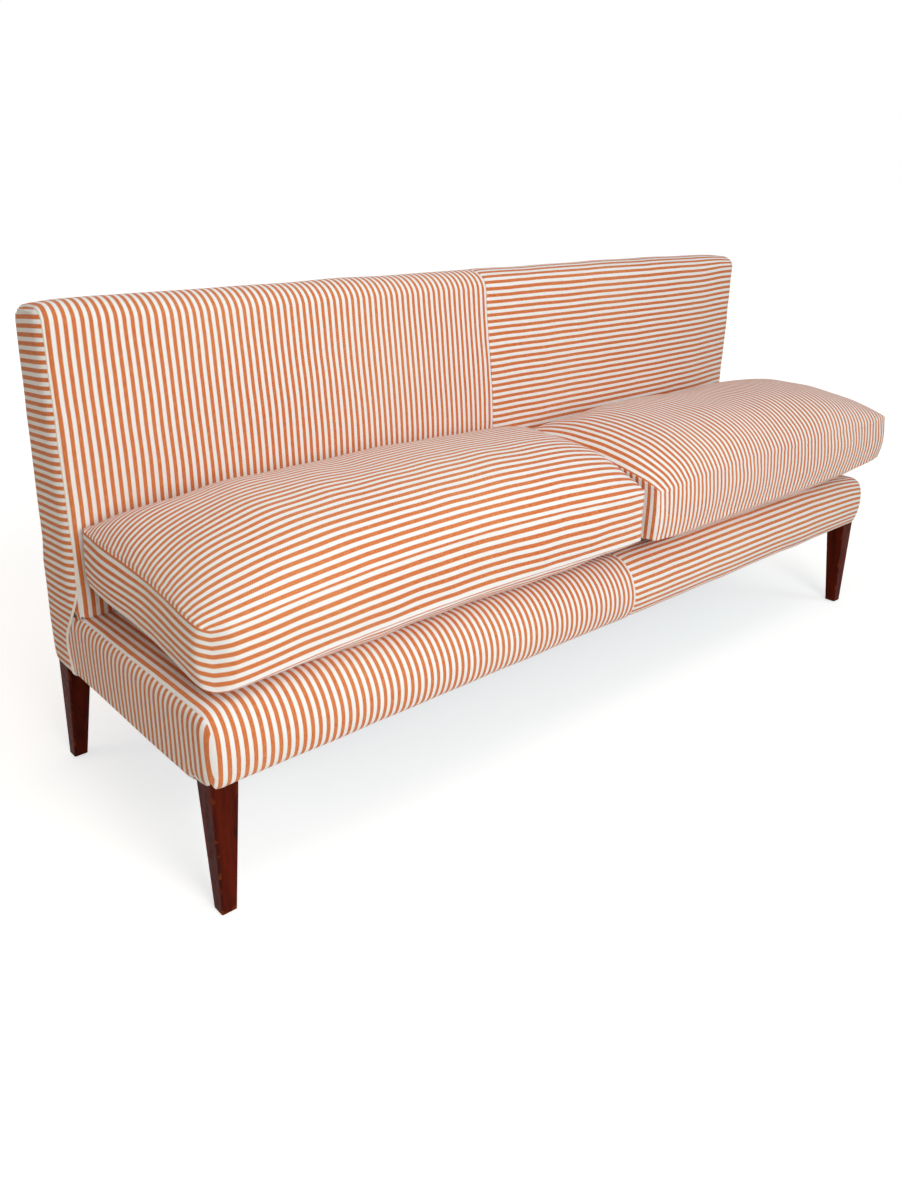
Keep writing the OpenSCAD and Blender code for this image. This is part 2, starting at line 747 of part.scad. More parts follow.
module seat_foam() placed() color(foam_hue) along_x(-soft_out, soft_out) difference() {
    polygon(concat(base_front(inside_e), [
        [back_frame_y - soft_gap, deck_h - inside_e], [back_frame_y - soft_gap, leg_h + inside_e]
    ]));
    translate([leg_inset - soft_gap, 0]) square([rear_y, pad_top]);
}

back_hessian_y = back_frame_y - weave_t - soft_gap - hessian_t;

module back_hessian() placed() color(hessian_hue)
    block([-soft_out, back_hessian_y, low_rail_z], [soft_out, back_hessian_y + hessian_t, top_rail_z + top_rail_t]);

back_pad_z = deck_h + soft_gap + fabric_t + soft_gap;

back_pad_top = top_rail_z + top_rail_t + soft_gap;

// The padding changes its outline at the same places as the covers over it
function pad_stations() = let (xs = cover_stations())
    concat([-soft_out], [for (i = [1 : len(xs) - 1]) xs[i]], [for (i = [len(xs) - 1 : -1 : 1]) -xs[i]], [soft_out]);

// The padding of the back is cut away where the frame and its hessian are
module back_foam() placed() color(foam_hue) difference() {
    let (xs = pad_stations())
        loft(xs, [for (x = xs) concat(
            [[rear_top_y - inside_e, back_pad_z]], back_front(inside_e, back_pad_z, x), back_top_rear(inside_e, x)
        )]);
    block([-half_l, back_hessian_y - soft_gap, deck_h], [half_l, rear_y, back_pad_top]);
}

// Wadding between the timber and an end's cloth
wadding_e = inside_e + soft_gap;
module end_wadding()
    along_x(-half_l + fabric_t + soft_gap, -leg_out - soft_gap) difference() {
        polygon(concat(
            base_front(wadding_e),
            [[seat_d + wadding_e, deck_h - wadding_e]],
            back_front(wadding_e, deck_h, half_l), back_top_rear(wadding_e, half_l), rear_foot(wadding_e)
        ));
        // Slot for the tucked edges of the base's and the back's covers
        translate([seat_d, deck_h - inside_e]) square([tuck + soft_gap, inside_e * 2 + soft_gap]);
    }
module end_wadding_left() placed() color(fibre_hue) end_wadding();
module end_wadding_right() placed() color(fibre_hue) mirror([1, 0, 0]) end_wadding();

// Covers

// Cloth is cut away round a leg. y is the leg's outer front corner.
module leg_notch(y) block(
    [-half_l - over, y - soft_gap, leg_h - over],
    [-leg_in + soft_gap, y + leg_top_w + soft_gap, leg_h + low_r]
);

cover_end = half_l - fabric_t - soft_gap;

module base_cover() difference() {
    along_x(-cover_end, -soft_gap / 2) strip(
        concat([[low_r + hem_w, leg_h]], base_front(0), [[seat_d + tuck, deck_h]]),
        concat([[low_r + hem_w, leg_h + fabric_t]], base_front(fabric_t), [[seat_d + tuck, deck_h - fabric_t]])
    );
    leg_notch(leg_inset);
}
module base_cover_left() placed() color(stripe_hue) base_cover();
module base_cover_right() placed() color(stripe_hue) mirror([1, 0, 0]) base_cover();

module base_end_panel()
    along_x(-half_l, -half_l + fabric_t) polygon(concat(base_front(0), step_edge(-soft_gap)));
module base_end_panel_left() placed() color(panel_hue) base_end_panel();
module base_end_panel_right() placed() color(panel_hue) mirror([1, 0, 0]) base_end_panel();

back_z = deck_h + soft_gap;

function back_cover_path(e, x) = concat(
    [[seat_d + tuck, back_z + e]],
    back_front(e, back_z + e, x), back_top_rear(e, x),
    [[rear_line(turn_z, e), turn_z]]
);

function cover_stations() = stations(-cover_end, -soft_gap / 2, swell_steps + 2);

module back_cover() let (xs = cover_stations())
    loft(xs, [for (x = xs) concat(back_cover_path(0, x), reversed(back_cover_path(fabric_t, x)))], true);
module back_cover_left() placed() color(stripe_hue) back_cover();
module back_cover_right() placed() color(stripe_hue) mirror([1, 0, 0]) back_cover();

module back_end_panel()
    along_x(-half_l, -half_l + fabric_t) polygon(concat(
        reversed(step_edge(0)), back_front(0, back_z, half_l), back_top_rear(0, half_l), rear_foot(0)
    ));
module back_end_panel_left() placed() color(panel_hue) back_end_panel();
module back_end_panel_right() placed() color(panel_hue) mirror([1, 0, 0]) back_end_panel();

// The outside back hangs from below the turned-down back cover to the hem under the rear rail
function outside_path(e, top) = concat([[rear_line(top, e), top]], rear_foot(e));

module outside_back() difference() {
    along_x(-cover_end, -soft_gap / 2) strip(
        concat(outside_path(0, turn_z - soft_gap), [[rear_y - low_r - hem_w, leg_h]]),
        concat(outside_path(fabric_t, turn_z - soft_gap), [[rear_y - low_r - hem_w, leg_h + fabric_t]])
    );
    leg_notch(rear_leg_y);
}
module outside_back_left() placed() color(panel_hue) outside_back();
module outside_back_right() placed() color(panel_hue) mirror([1, 0, 0]) outside_back();

lining_e = inside_e + lining_t;

module outside_back_lining() placed() color(lining_hue)
    along_x(-soft_out, soft_out) strip(
        [[rear_line(top_rail_z, inside_e), top_rail_z], [rear_line(rail_top, inside_e), rail_top],
            [rear_y - inside_e, leg_h + low_r]],
        [[rear_line(top_rail_z, lining_e), top_rail_z], [rear_line(rail_top, lining_e), rail_top],
            [rear_y - lining_e, leg_h + low_r]]
    );

module dust_cover() placed() color(dust_hue) difference() {
    block([-half_l + dust_inset, dust_inset, leg_h - dust_t], [half_l - dust_inset, rear_y - dust_inset, leg_h]);
    both_ends() {
        leg_notch(leg_inset);
        leg_notch(rear_leg_y);
    }
}

// Cushions: a grid of u along X and v along Y, each from -1 to 1, is laid over
// the top and the belly, and rows of boxing join their edges.

function quad(a, b, c, d) = [[a, b, c], [a, c, d]];
function flat_list(list) = [for (part = list, item = part) item];
function crowd(t) = let (s = 2 * t - 1) mix(s, s * (3 - s * s) / 2, crowding_share);

// Place in plan. The free end and the front are drawn in at mid-side, and the
// corners are rounded. The joined end is pressed straight. The rear edge is
// straight along the zip, and reaches back at its free corner.
function cushion_xy(spec, u, v, e, swell) = let (
    free = spec[0] * u > 0,
    bulge = free ? swell : swell * joined_swell_share,
    a = cushion_l / 2 - (free ? boxing_swell : boxing_swell * joined_swell_share) - e + bulge,
    b = cushion_d / 2 - e,
    draw = free ? corner_draw : joined_draw,
    in_x = (free ? side_draw * (1 - v * v) : 0) + draw * pow(abs(v), corner_power),
    in_y = v < 0
        ? side_draw * (1 - u * u) + draw * pow(abs(u), corner_power) + boxing_swell - swell
        : draw * pow(abs(u), corner_power) - rear_reach * ease(max(0, spec[0] * u - zip_share) / (1 - zip_share))
) [
    u * (a - in_x * pow(abs(u), edge_power)),
    v * (b - in_y * pow(abs(v), edge_power)) + spec[2] * (1 + spec[0] * u) * (1 - v) / 4
];

// The crown falls to the seam at the free end, but stays high where the
// cushions are pressed against each other
function crown_at(spec, u, v) = pow(
    (spec[0] * u > 0
        ? 1 - pow(abs(u), free_u_power)
        : 1 - (1 - joined_crown_share * (1 + joined_slant_share * v)) * pow(abs(u), joined_u_power))
        * (1 - pow(abs(v), crown_v_power)),
    crown_power
);

function free_crown(u, v) = pow((1 - pow(abs(u), free_u_power)) * (1 - pow(abs(v), crown_v_power)), crown_power);

// Height that the free corner gains or loses
function corner_shift(spec, u, v) =
    spec[1] * pow((1 + spec[0] * u) / 2, fall_u_power) * pow((1 - v) / 2, fall_v_power);

function seam_z(w, e) = deck_h + seam_rise + mix(e, boxing_h - e, w);
function arch_z(u, v) = seam_arch * (1 - u * u) * v * v;
function top_z(spec, u, v, e) =
    seam_z(1, e) + crown_top * crown_at(spec, u, v) + corner_shift(spec, u, v) + arch_z(u, v);
function low_seam_z(spec, u, v, e) = max(seam_z(0, e) + corner_shift(spec, u, v), deck_h + soft_gap + e);
function belly_z(spec, u, v, e) = max(
    deck_h + soft_gap + e,
    low_seam_z(spec, u, v, e) - spec[3] * free_crown(u, v)
);
function side_z(spec, u, v, e, w) = mix(low_seam_z(spec, u, v, e), top_z(spec, u, v, e), w);

// Grid places round the edge, anticlockwise from the front left corner
function rim(nu, nv) = concat(
    [for (i = [0 : nu - 1]) [i, 0]],
    [for (j = [0 : nv - 1]) [nu, j]],
    [for (i = [nu : -1 : 1]) [i, nv]],
    [for (j = [nv : -1 : 1]) [0, j]]
);

function cushion_points(spec, e, nu, nv) = concat(
    [for (j = [0 : nv], i = [0 : nu]) let (u = crowd(i / nu), v = crowd(j / nv))
        concat(cushion_xy(spec, u, v, e, 0), [top_z(spec, u, v, e)])],
    [for (j = [0 : nv], i = [0 : nu]) let (u = crowd(i / nu), v = crowd(j / nv))
        concat(cushion_xy(spec, u, v, e, 0), [belly_z(spec, u, v, e)])],
    [for (k = [1 : boxing_n - 1], g = rim(nu, nv))
        let (u = crowd(g[0] / nu), v = crowd(g[1] / nv), w = k / boxing_n)
        concat(cushion_xy(spec, u, v, e, boxing_swell * sin(180 * w)), [side_z(spec, u, v, e, w)])]
);

// Number of a point: on the top, on the belly, or on row k of the boxing
function top_id(nu, i, j) = j * (nu + 1) + i;
function belly_id(nu, nv, i, j) = (nu + 1) * (nv + 1) + top_id(nu, i, j);
function row_id(nu, nv, k, m) =
    let (n = 2 * (nu + nv), g = rim(nu, nv)[m % n])
    k == 0 ? belly_id(nu, nv, g[0], g[1])
    : k == boxing_n ? top_id(nu, g[0], g[1])
    : 2 * (nu + 1) * (nv + 1) + (k - 1) * n + m % n;

function cushion_faces(nu, nv) = concat(
    flat_list([for (j = [0 : nv - 1], i = [0 : nu - 1])
        quad(top_id(nu, i, j), top_id(nu, i, j + 1), top_id(nu, i + 1, j + 1), top_id(nu, i + 1, j))]),
    flat_list([for (j = [0 : nv - 1], i = [0 : nu - 1])
        quad(belly_id(nu, nv, i, j), belly_id(nu, nv, i + 1, j),
            belly_id(nu, nv, i + 1, j + 1), belly_id(nu, nv, i, j + 1))]),
    flat_list([for (k = [0 : boxing_n - 1], m = [0 : 2 * (nu + nv) - 1])
        quad(row_id(nu, nv, k, m), row_id(nu, nv, k + 1, m),
            row_id(nu, nv, k + 1, m + 1), row_id(nu, nv, k, m + 1))])
);

module cushion_form(spec, e, nu, nv) polyhedron(cushion_points(spec, e, nu, nv), cushion_faces(nu, nv));

module at_left_cushion() placed() translate([left_cushion_x, left_cushion_y, 0]) children();
module at_right_cushion() placed() translate([right_cushion_x, right_cushion_y, 0]) children();

module cushion_cover(spec) difference() {
    cushion_form(spec, 0, cushion_nu, cushion_nv);
    cushion_form(spec, fabric_t, cushion_nu, cushion_nv);
}

// The fibre wrap rests on the cover's flat belly, round the foam core. Its own
// belly is shallower, so that it stays clear of the cover's slopes.
function wrap_spec(spec) = [spec[0], spec[1], spec[2], spec[3] - wrap_ease];

module cushion_wrap(spec) difference() {
    translate([0, 0, -wrap_play + fabric_t + soft_gap])
        cushion_form(wrap_spec(spec), wrap_play, wrap_nu, wrap_nv);
    core_box(soft_gap);
}

module core_box(grow) block(
    [-core_l / 2 - grow, -core_d / 2 - grow, core_z - grow],
    [core_l / 2 + grow, core_d / 2 + grow, core_z + core_h + grow]
);

// The zip lies along the middle of the rear boxing
zip_y = cushion_d / 2 + soft_gap;
zip_z = deck_h + seam_rise + boxing_h / 2;

module zip() {
    block([-zip_l / 2, zip_y, zip_z - tape_h / 2], [zip_l / 2, zip_y + tape_t, zip_z + tape_h / 2]);
    block([-zip_l / 2, zip_y, zip_z - chain_h / 2], [zip_l / 2, zip_y + tape_t + chain_t, zip_z + chain_h / 2]);
    for (side = [-1, 1])
        block(
            [side * (zip_l / 2 - stop_l / 2) - stop_l / 2, zip_y, zip_z - chain_h],
            [side * (zip_l / 2 - stop_l / 2) + stop_l / 2, zip_y + tape_t + chain_t + slider_wall, zip_z + chain_h]
        );
}

// The slider rides on the chain, closed at the right, with its pull hanging down
slider_y = zip_y + tape_t + slider_play;
slider_x = zip_l / 2 - stop_l - slider_play - slider_l;

module zip_slider() translate([slider_x, 0, zip_z]) {
    difference() {
        block(
            [0, slider_y, -chain_h / 2 - slider_play - slider_wall],
            [slider_l, slider_y + chain_t + slider_wall, chain_h / 2 + slider_play + slider_wall]
        );
        block([-over, 0, -chain_h / 2 - slider_play],
            [slider_l + over, zip_y + tape_t + chain_t + slider_play, chain_h / 2 + slider_play]);
    }
    block(
        [(slider_l - pull_w) / 2, slider_y + chain_t, -pull_l],
        [(slider_l + pull_w) / 2, slider_y + chain_t + slider_wall, 0]
    );
}

module left_cushion_cover() at_left_cushion() color(stripe_hue) cushion_cover(left_spec);
module left_cushion_wrap() at_left_cushion() color(fibre_hue) cushion_wrap(left_spec);
module left_cushion_core() at_left_cushion() color(foam_hue) core_box(0);
module left_cushion_zip() at_left_cushion() color(lining_hue) zip();
module left_zip_slider() at_left_cushion() color(steel_hue) zip_slider();
module right_cushion_cover() at_right_cushion() color(stripe_hue) cushion_cover(right_spec);
module right_cushion_wrap() at_right_cushion() color(fibre_hue) cushion_wrap(right_spec);
module right_cushion_core() at_right_cushion() color(foam_hue) core_box(0);
module right_cushion_zip() at_right_cushion() color(lining_hue) zip();
module right_zip_slider() at_right_cushion() color(steel_hue) zip_slider();

front_leg_left();
front_leg_right();
rear_leg_left();
rear_leg_right();
foot_glides();
front_rail();
seat_rear_rail();
rear_rail();
end_rail_left();
end_rail_right();
cross_rails();
frame_dowels();
corner_blocks();
block_screws();
back_post_left();
back_post_right();
back_inner_posts();
back_top_rail();
back_lower_rail();
back_dowels();
coach_screws();
coach_washers();
seat_webbing_cross();
seat_webbing_long();
seat_hessian();
seat_foam();
back_webbing_upright();
back_webbing_level();
back_hessian();
back_foam();
end_wadding_left();
end_wadding_right();
base_cover_left();
base_cover_right();
base_end_panel_left();
base_end_panel_right();
back_cover_left();
back_cover_right();
back_end_panel_left();
back_end_panel_right();
outside_back_lining();
outside_back_left();
outside_back_right();
dust_cover();
left_cushion_cover();
left_cushion_wrap();
left_cushion_core();
left_cushion_zip();
left_zip_slider();
right_cushion_cover();
right_cushion_wrap();
right_cushion_core();
right_cushion_zip();
right_zip_slider();
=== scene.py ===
# %% [markdown]
# # A striped banquette, dressed
#
# The banquette is a long bench with a tight upholstered back, a shallow base on
# four tapered legs, and two loose box cushions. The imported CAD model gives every
# place and size. Here it gets its cloth, padding, seams, wood and light.
#
# The CAD model is loaded first, as a fixed frame. Each new piece is then built in
# that frame, in metres, and rides on the body that carries it.

import math

import bmesh
import bpy
import numpy as np
from mathutils import Matrix, Vector


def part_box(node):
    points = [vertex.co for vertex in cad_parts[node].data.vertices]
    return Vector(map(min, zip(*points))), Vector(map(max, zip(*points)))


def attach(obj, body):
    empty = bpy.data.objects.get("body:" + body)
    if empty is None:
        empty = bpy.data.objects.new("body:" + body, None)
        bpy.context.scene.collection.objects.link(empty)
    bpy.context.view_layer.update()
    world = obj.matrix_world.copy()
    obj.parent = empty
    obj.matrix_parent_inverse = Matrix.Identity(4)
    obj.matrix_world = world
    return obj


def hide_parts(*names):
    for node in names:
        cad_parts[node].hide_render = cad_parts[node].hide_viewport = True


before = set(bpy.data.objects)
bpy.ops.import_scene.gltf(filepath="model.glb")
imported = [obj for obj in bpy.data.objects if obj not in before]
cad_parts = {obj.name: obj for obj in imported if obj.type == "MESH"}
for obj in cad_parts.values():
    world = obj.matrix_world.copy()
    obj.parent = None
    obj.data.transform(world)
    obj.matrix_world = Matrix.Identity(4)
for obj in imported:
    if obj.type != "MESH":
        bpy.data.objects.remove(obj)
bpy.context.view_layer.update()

# %% [markdown]
# ## Places that the CAD model gives
#
# Upholstery is drafted in millimetres from the front of the base, so the shapes
# below are too. One function turns such a place into metres in the shared frame.
# The sizes that matter are read from the CAD nodes, so that the cloth follows them.

# %% Read the sizes from the frame
MM = 0.001
LEG_INSET = 6
CLOTH_T = 1.6
GAP = 0.3
front_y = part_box("front_leg_left")[0].y - LEG_INSET * MM


def in_mm(node):
    """The box of a CAD node as two arrays, in millimetres from the base's front edge."""
    low, high = (np.array(corner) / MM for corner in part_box(node))
    shift = np.array([0, front_y / MM, 0])
    return low - shift, high - shift


def to_frame(points):
    """Millimetres from the base's front edge, as metres in the shared frame."""
    return np.asarray(points, float) * MM + np.array([0, front_y, 0])


HALF = in_mm("base_end_panel_right")[1][0]
HEM = in_mm("base_cover_left")[0][2]
DECK = in_mm("base_cover_left")[1][2]
TOP = in_mm("back_cover_left")[1][2]
REAR = in_mm("outside_back_left")[1][1]
REAR_TOP = 577.0
SEAT = 455.0
LEG_W = in_mm("front_leg_left")[1][0] - in_mm("front_leg_left")[0][0]
REAR_LEG_Y = REAR - LEG_INSET - LEG_W
TURN_Z = in_mm("outside_back_left")[1][2] + GAP
print("half length", HALF, "deck", DECK, "top", TOP, "rear", REAR, "leg", LEG_W, "turn", TURN_Z)

# %% [markdown]
# ## Camera, floor and light
#
# The camera stands at the left end, above the seat, and looks down along the
# bench, as the photographer did. Its place comes from the lines of the bench in
# the photograph. The floor is plain and pale, and shows white where nothing is.
# Soft lamps at a plain level let each colour come out about as it is written.

# %% Place the camera
CAMERA_MM = (-1522.1, -1100.2, 1053.3)
CAMERA_YAW = 0.6994
CAMERA_PITCH = 0.3661
CAMERA_ROLL = 0.0018
CAMERA_LENS = 28.35
CAMERA_SHIFT = (0.0318, -0.0299)


def linked(name, data):
    """A new object in the scene, made of a mesh, a lamp or a camera."""
    made = bpy.data.objects.new(name, data)
    bpy.context.scene.collection.objects.link(made)
    return made


camera_data = bpy.data.cameras.new("photo_camera")
camera_data.lens = CAMERA_LENS
camera_data.sensor_width = 36
camera_data.shift_x, camera_data.shift_y = CAMERA_SHIFT
camera = linked("photo_camera", camera_data)
camera.location = to_frame(CAMERA_MM)
camera.rotation_euler = (math.pi / 2 - CAMERA_PITCH, CAMERA_ROLL, -CAMERA_YAW)
bpy.context.scene.camera = camera
bpy.context.scene.view_settings.view_transform = "Standard"
print("camera at", [round(v, 3) for v in camera.location])


# %% Helpers for shader nodes
def srgb(red, green, blue):
    """A colour as a picture gives it, from 0 to 255, as the linear values that a shader takes."""
    share = np.array([red, green, blue]) / 255
    linear = np.where(share <= 0.04045, share / 12.92, ((share + 0.055) / 1.055) ** 2.4)
    return (*[float(v) for v in linear], 1.0)


def node(tree, kind, inputs=None, **settings):
    """Adds a shader or geometry node. Inputs are numbers, colours or another node's output."""
    made = tree.nodes.new(kind)
    for name, value in settings.items():
        setattr(made, name, value)
    for name, value in (inputs or {}).items():
        if isinstance(value, bpy.types.NodeSocket):
            tree.links.new(value, made.inputs[name])
        else:
            made.inputs[name].default_value = value
    return made


def calc(tree, operation, *values, clamp=False):
    """One step of arithmetic on numbers or outputs."""
    return node(
        tree, "ShaderNodeMath", dict(enumerate(values)), operation=operation, use_clamp=clamp
    ).outputs[0]


def ramp(tree, value, low, high, to_low=0.0, to_high=1.0):
    """A soft step from one level to another."""
    return node(
        tree,
        "ShaderNodeMapRange",
        {"Value": value, "From Min": low, "From Max": high, "To Min": to_low, "To Max": to_high},
        interpolation_type="SMOOTHSTEP",
    ).outputs["Result"]


def blended(tree, share, first, second):
    """Two colours or outputs, mixed by a share."""
    inputs = {0: share, 6: first, 7: second}
    return node(tree, "ShaderNodeMix", inputs, data_type="RGBA").outputs[2]


def noise(tree, place, scale, detail, roughness=0.5, dimensions="3D"):
    """An uneven field at a place, of about 0.3 to 0.7."""
    inputs = {"Vector": place, "Scale": scale, "Detail": detail, "Roughness": roughness}
    made = node(tree, "ShaderNodeTexNoise", inputs, noise_dimensions=dimensions)
    return made.outputs["Fac"]


def scaled(tree, place, factors):
    """A place with each of its three coordinates multiplied."""
    inputs = {0: place, 1: factors}
    return node(tree, "ShaderNodeVectorMath", inputs, operation="MULTIPLY").outputs[0]


def own_place(tree):
    """A piece's own coordinates, in metres."""
    return node(tree, "ShaderNodeTexCoord").outputs["Object"]


def material(name, **shader_values):
    """A new material: its tree and its Principled shader, with values on its sockets."""
    made = bpy.data.materials.new(name)
    made.use_nodes = True
    shader = made.node_tree.nodes["Principled BSDF"]
    for socket, value in shader_values.items():
        shader.inputs[socket.replace("_", " ").title().replace("Ior", "IOR")].default_value = value
    return made, made.node_tree, shader


def looks(tree, shader, colour, roughness):
    """Gives a shader its colour and its roughness."""
    tree.links.new(colour, shader.inputs["Base Color"])
    tree.links.new(roughness, shader.inputs["Roughness"])


def raised(tree, shader, height, strength, distance):
    """Lets a fine pattern stand out from a shader's surface."""
    inputs = {"Strength": strength, "Distance": distance, "Height": height}
    bump = node(tree, "ShaderNodeBump", inputs)
    tree.links.new(bump.outputs[0], shader.inputs["Normal"])


def seen_rays(tree):
    """1 for the rays that see the background: the camera's own, and those by gloss and glass."""
    rays = node(tree, "ShaderNodeLightPath")
    seen = calc(tree, "MAXIMUM", rays.outputs["Is Camera Ray"], rays.outputs["Is Glossy Ray"])
    return calc(tree, "MAXIMUM", seen, rays.outputs["Is Transmission Ray"])


def white_for_camera(tree, shader):
    """Shows plain white to the rays that see the background, and the shader to the rest."""
    glow = node(tree, "ShaderNodeEmission", {"Color": (1, 1, 1, 1), "Strength": 1.0})
    mixed = node(tree, "ShaderNodeMixShader", {0: seen_rays(tree)})
    tree.links.new(shader, mixed.inputs[1])
    tree.links.new(glow.outputs[0], mixed.inputs[2])
    return mixed.outputs[0]


# %% Lay the floor and light the room
floor_mesh = bpy.data.meshes.new("floor")
FLOOR_REACH = 90
floor_mesh.from_pydata(
    [(x, y, 0) for x, y in ((-1, -1), (1, -1), (1, 1), (-1, 1))], [], [(0, 1, 2, 3)]
)
floor_mesh.transform(Matrix.Scale(FLOOR_REACH, 4))
floor = linked("floor", floor_mesh)
floor_material, floor_tree, floor_shader = material("pale_floor", roughness=0.9)
FLOOR_COLOUR = srgb(224, 217, 208)
floor_shader.inputs["Base Color"].default_value = FLOOR_COLOUR
# The floor is lifted to white where it is seen, and less near the bench, so that its shadow shows
LIFT_NEAR, LIFT_FAR = 0.6, 0.84
LIFT_FROM, LIFT_TO = 1.0, 3.5
LIFT_COLOUR = (1, 1.04, 1.08, 1)
away = node(
    floor_tree, "ShaderNodeVectorMath", {0: own_place(floor_tree)}, operation="LENGTH"
).outputs["Value"]
level = ramp(floor_tree, away, LIFT_FROM, LIFT_TO, LIFT_NEAR, LIFT_FAR)
strength = calc(floor_tree, "MULTIPLY", seen_rays(floor_tree), level)
lift = node(floor_tree, "ShaderNodeEmission", {"Color": LIFT_COLOUR, "Strength": strength})
lit = node(floor_tree, "ShaderNodeAddShader")
floor_tree.links.new(floor_shader.outputs[0], lit.inputs[0])
floor_tree.links.new(lift.outputs[0], lit.inputs[1])
floor_tree.links.new(lit.outputs[0], floor_tree.nodes["Material Output"].inputs[0])
floor_mesh.materials.append(floor_material)

world = bpy.data.worlds.new("studio")
bpy.context.scene.world = world
world.use_nodes = True
world_tree = world.node_tree
room_light = world_tree.nodes["Background"]
ROOM_LEVEL = 0.27
room_light.inputs["Color"].default_value = (1.0, 0.88, 0.76, 1)
room_light.inputs["Strength"].default_value = ROOM_LEVEL
world_tree.links.new(
    white_for_camera(world_tree, room_light.outputs[0]),
    world_tree.nodes["World Output"].inputs[0],
)

LAMPS = {
    # name: (place, point it faces, size, watts, colour)
    "front_lamp": ((-1.0, -2.7, 1.5), (-0.45, 0, 0.55), 1.6, 52, (0.93, 0.975, 1.0)),
    "top_lamp": ((-0.4, -0.6, 3.0), (-0.3, 0, 0.4), 2.0, 21, (0.94, 0.97, 1.0)),
    "right_lamp": ((1.9, -1.9, 1.8), (0.75, 0.3, 0.75), 1.2, 11, (0.58, 0.86, 1.0)),
    "left_lamp": ((-3.6, 1.6, 1.9), (-0.9, 0.4, 0.7), 1.6, 12, (1.0, 0.96, 0.9)),
}
for name, (place, target, size, watts, colour) in LAMPS.items():
    lamp_data = bpy.data.lights.new(name, "AREA")
    lamp_data.shape = "DISK"
    lamp_data.size = size
    lamp_data.energy = watts
    lamp_data.color = colour
    lamp = linked(name, lamp_data)
    lamp.location = place
    aim = Vector(target) - lamp.location
    lamp.rotation_euler = aim.to_track_quat("-Z", "Y").to_euler()
print("lamps:", ", ".join(LAMPS))

# %% [markdown]
# ## The ticking cloth
#
# The cloth is a woven ticking: off-white and terracotta stripes of about equal
# width, with a small herringbone in the terracotta, where pale threads show, and
# a fine twill in the white. A picture of the cloth would repeat and would need
# unwrapping. Here the weave is worked out from each piece's own flat place in the
# cloth, which its UV map holds in metres: U runs across the stripes and V along
# them. The stripes then follow every curve, as the real cloth does.

# %% Build the ticking weave as a node group
STRIPE_REPEAT = 0.0147


def group(name, inputs, outputs):
    """A new shader node group: its tree, its inputs and its output node."""
    tree = bpy.data.node_groups.new(name, "ShaderNodeTree")
    for label, kind, value in inputs:
        socket = tree.interface.new_socket(label, in_out="INPUT", socket_type="NodeSocket" + kind)
        if value is not None:
            socket.default_value = value
    for label, kind in outputs:
        tree.interface.new_socket(label, in_out="OUTPUT", socket_type="NodeSocket" + kind)
    given = tree.nodes.new("NodeGroupInput").outputs
    result = tree.nodes.new("NodeGroupOutput").inputs
    return tree, given, result


def use_group(tree, group_tree, inputs):
    """Places a node group in a material and returns its outputs."""
    return node(tree, "ShaderNodeGroup", inputs, node_tree=group_tree).outputs


def wave_along(tree, axis, thread):
    """A wave of one thread's width along an axis."""
    turns = calc(tree, "DIVIDE", calc(tree, "MULTIPLY", axis, 2 * math.pi), thread)
    return calc(tree, "SINE", turns)


ticking, given, result = group(
    "ticking_weave",
    [
        ("Cloth", "Vector", None),
        ("Repeat", "Float", STRIPE_REPEAT),
        ("Band Share", "Float", 0.5),
        ("Thread", "Float", 0.00062),
        ("Herringbone", "Float", 0.0031),
    ],
    [("Band", "Float"), ("Fleck", "Float"), ("Height", "Float"), ("Slub", "Float")],
)
axes = node(ticking, "ShaderNodeSeparateXYZ", {0: given["Cloth"]}).outputs
across, along = axes["X"], axes["Y"]
# A hand-laid cloth is never quite straight, so the stripes wander by a fraction of a millimetre
DRIFT = 0.0022
drift = calc(ticking, "SUBTRACT", noise(ticking, given["Cloth"], 9.0, 1.0, dimensions="2D"), 0.5)
across_now = calc(ticking, "MULTIPLY_ADD", drift, DRIFT, across)
phase = calc(ticking, "FRACT", calc(ticking, "DIVIDE", across_now, given["Repeat"]))
from_middle = calc(ticking, "ABSOLUTE", calc(ticking, "SUBTRACT", phase, 0.5))
half_band = calc(ticking, "MULTIPLY", given["Band Share"], 0.5)
BAND_EDGE = 0.03
band = ramp(ticking, calc(ticking, "SUBTRACT", from_middle, half_band), BAND_EDGE, -BAND_EDGE)
# The herringbone: twill lines that turn back every few threads
TURN_SHARE, TWILL_SLOPE = 0.125, 1.3
turn_back = calc(ticking, "MULTIPLY", given["Repeat"], TURN_SHARE)
zigzag = calc(ticking, "PINGPONG", across_now, turn_back)
twill_place = calc(ticking, "MULTIPLY_ADD", zigzag, TWILL_SLOPE, along)
twill = calc(ticking, "DIVIDE", twill_place, given["Herringbone"])
twill_wave = calc(ticking, "SINE", calc(ticking, "MULTIPLY", twill, 2 * math.pi))
warp_wave = wave_along(ticking, across, given["Thread"])
weft_wave = wave_along(ticking, along, given["Thread"])
fleck = ramp(ticking, twill_wave, 0.05, 0.85)
threads = calc(ticking, "MULTIPLY_ADD", calc(ticking, "MULTIPLY", warp_wave, weft_wave), 0.25, 0.5)
height = calc(ticking, "MULTIPLY_ADD", twill_wave, 0.3, threads)
# Slubs are a thread wide and long along the stripes
SLUBS_PER_METRE = (1500.0, 90.0, 1.0)
slub_place = scaled(ticking, given["Cloth"], SLUBS_PER_METRE)
slub = noise(ticking, slub_place, 1.0, 3.0, 0.65, "2D")
for label, value in (("Band", band), ("Fleck", fleck), ("Height", height), ("Slub", slub)):
    ticking.links.new(value, result[label])
print("ticking weave:", len(ticking.nodes), "nodes")

# %% Make the ticking material
CREAM = srgb(247, 246, 244)
CREAM_SHADE = srgb(229, 226, 220)
TERRACOTTA = srgb(198, 82, 20)
TERRACOTTA_PALE = srgb(246, 190, 128)


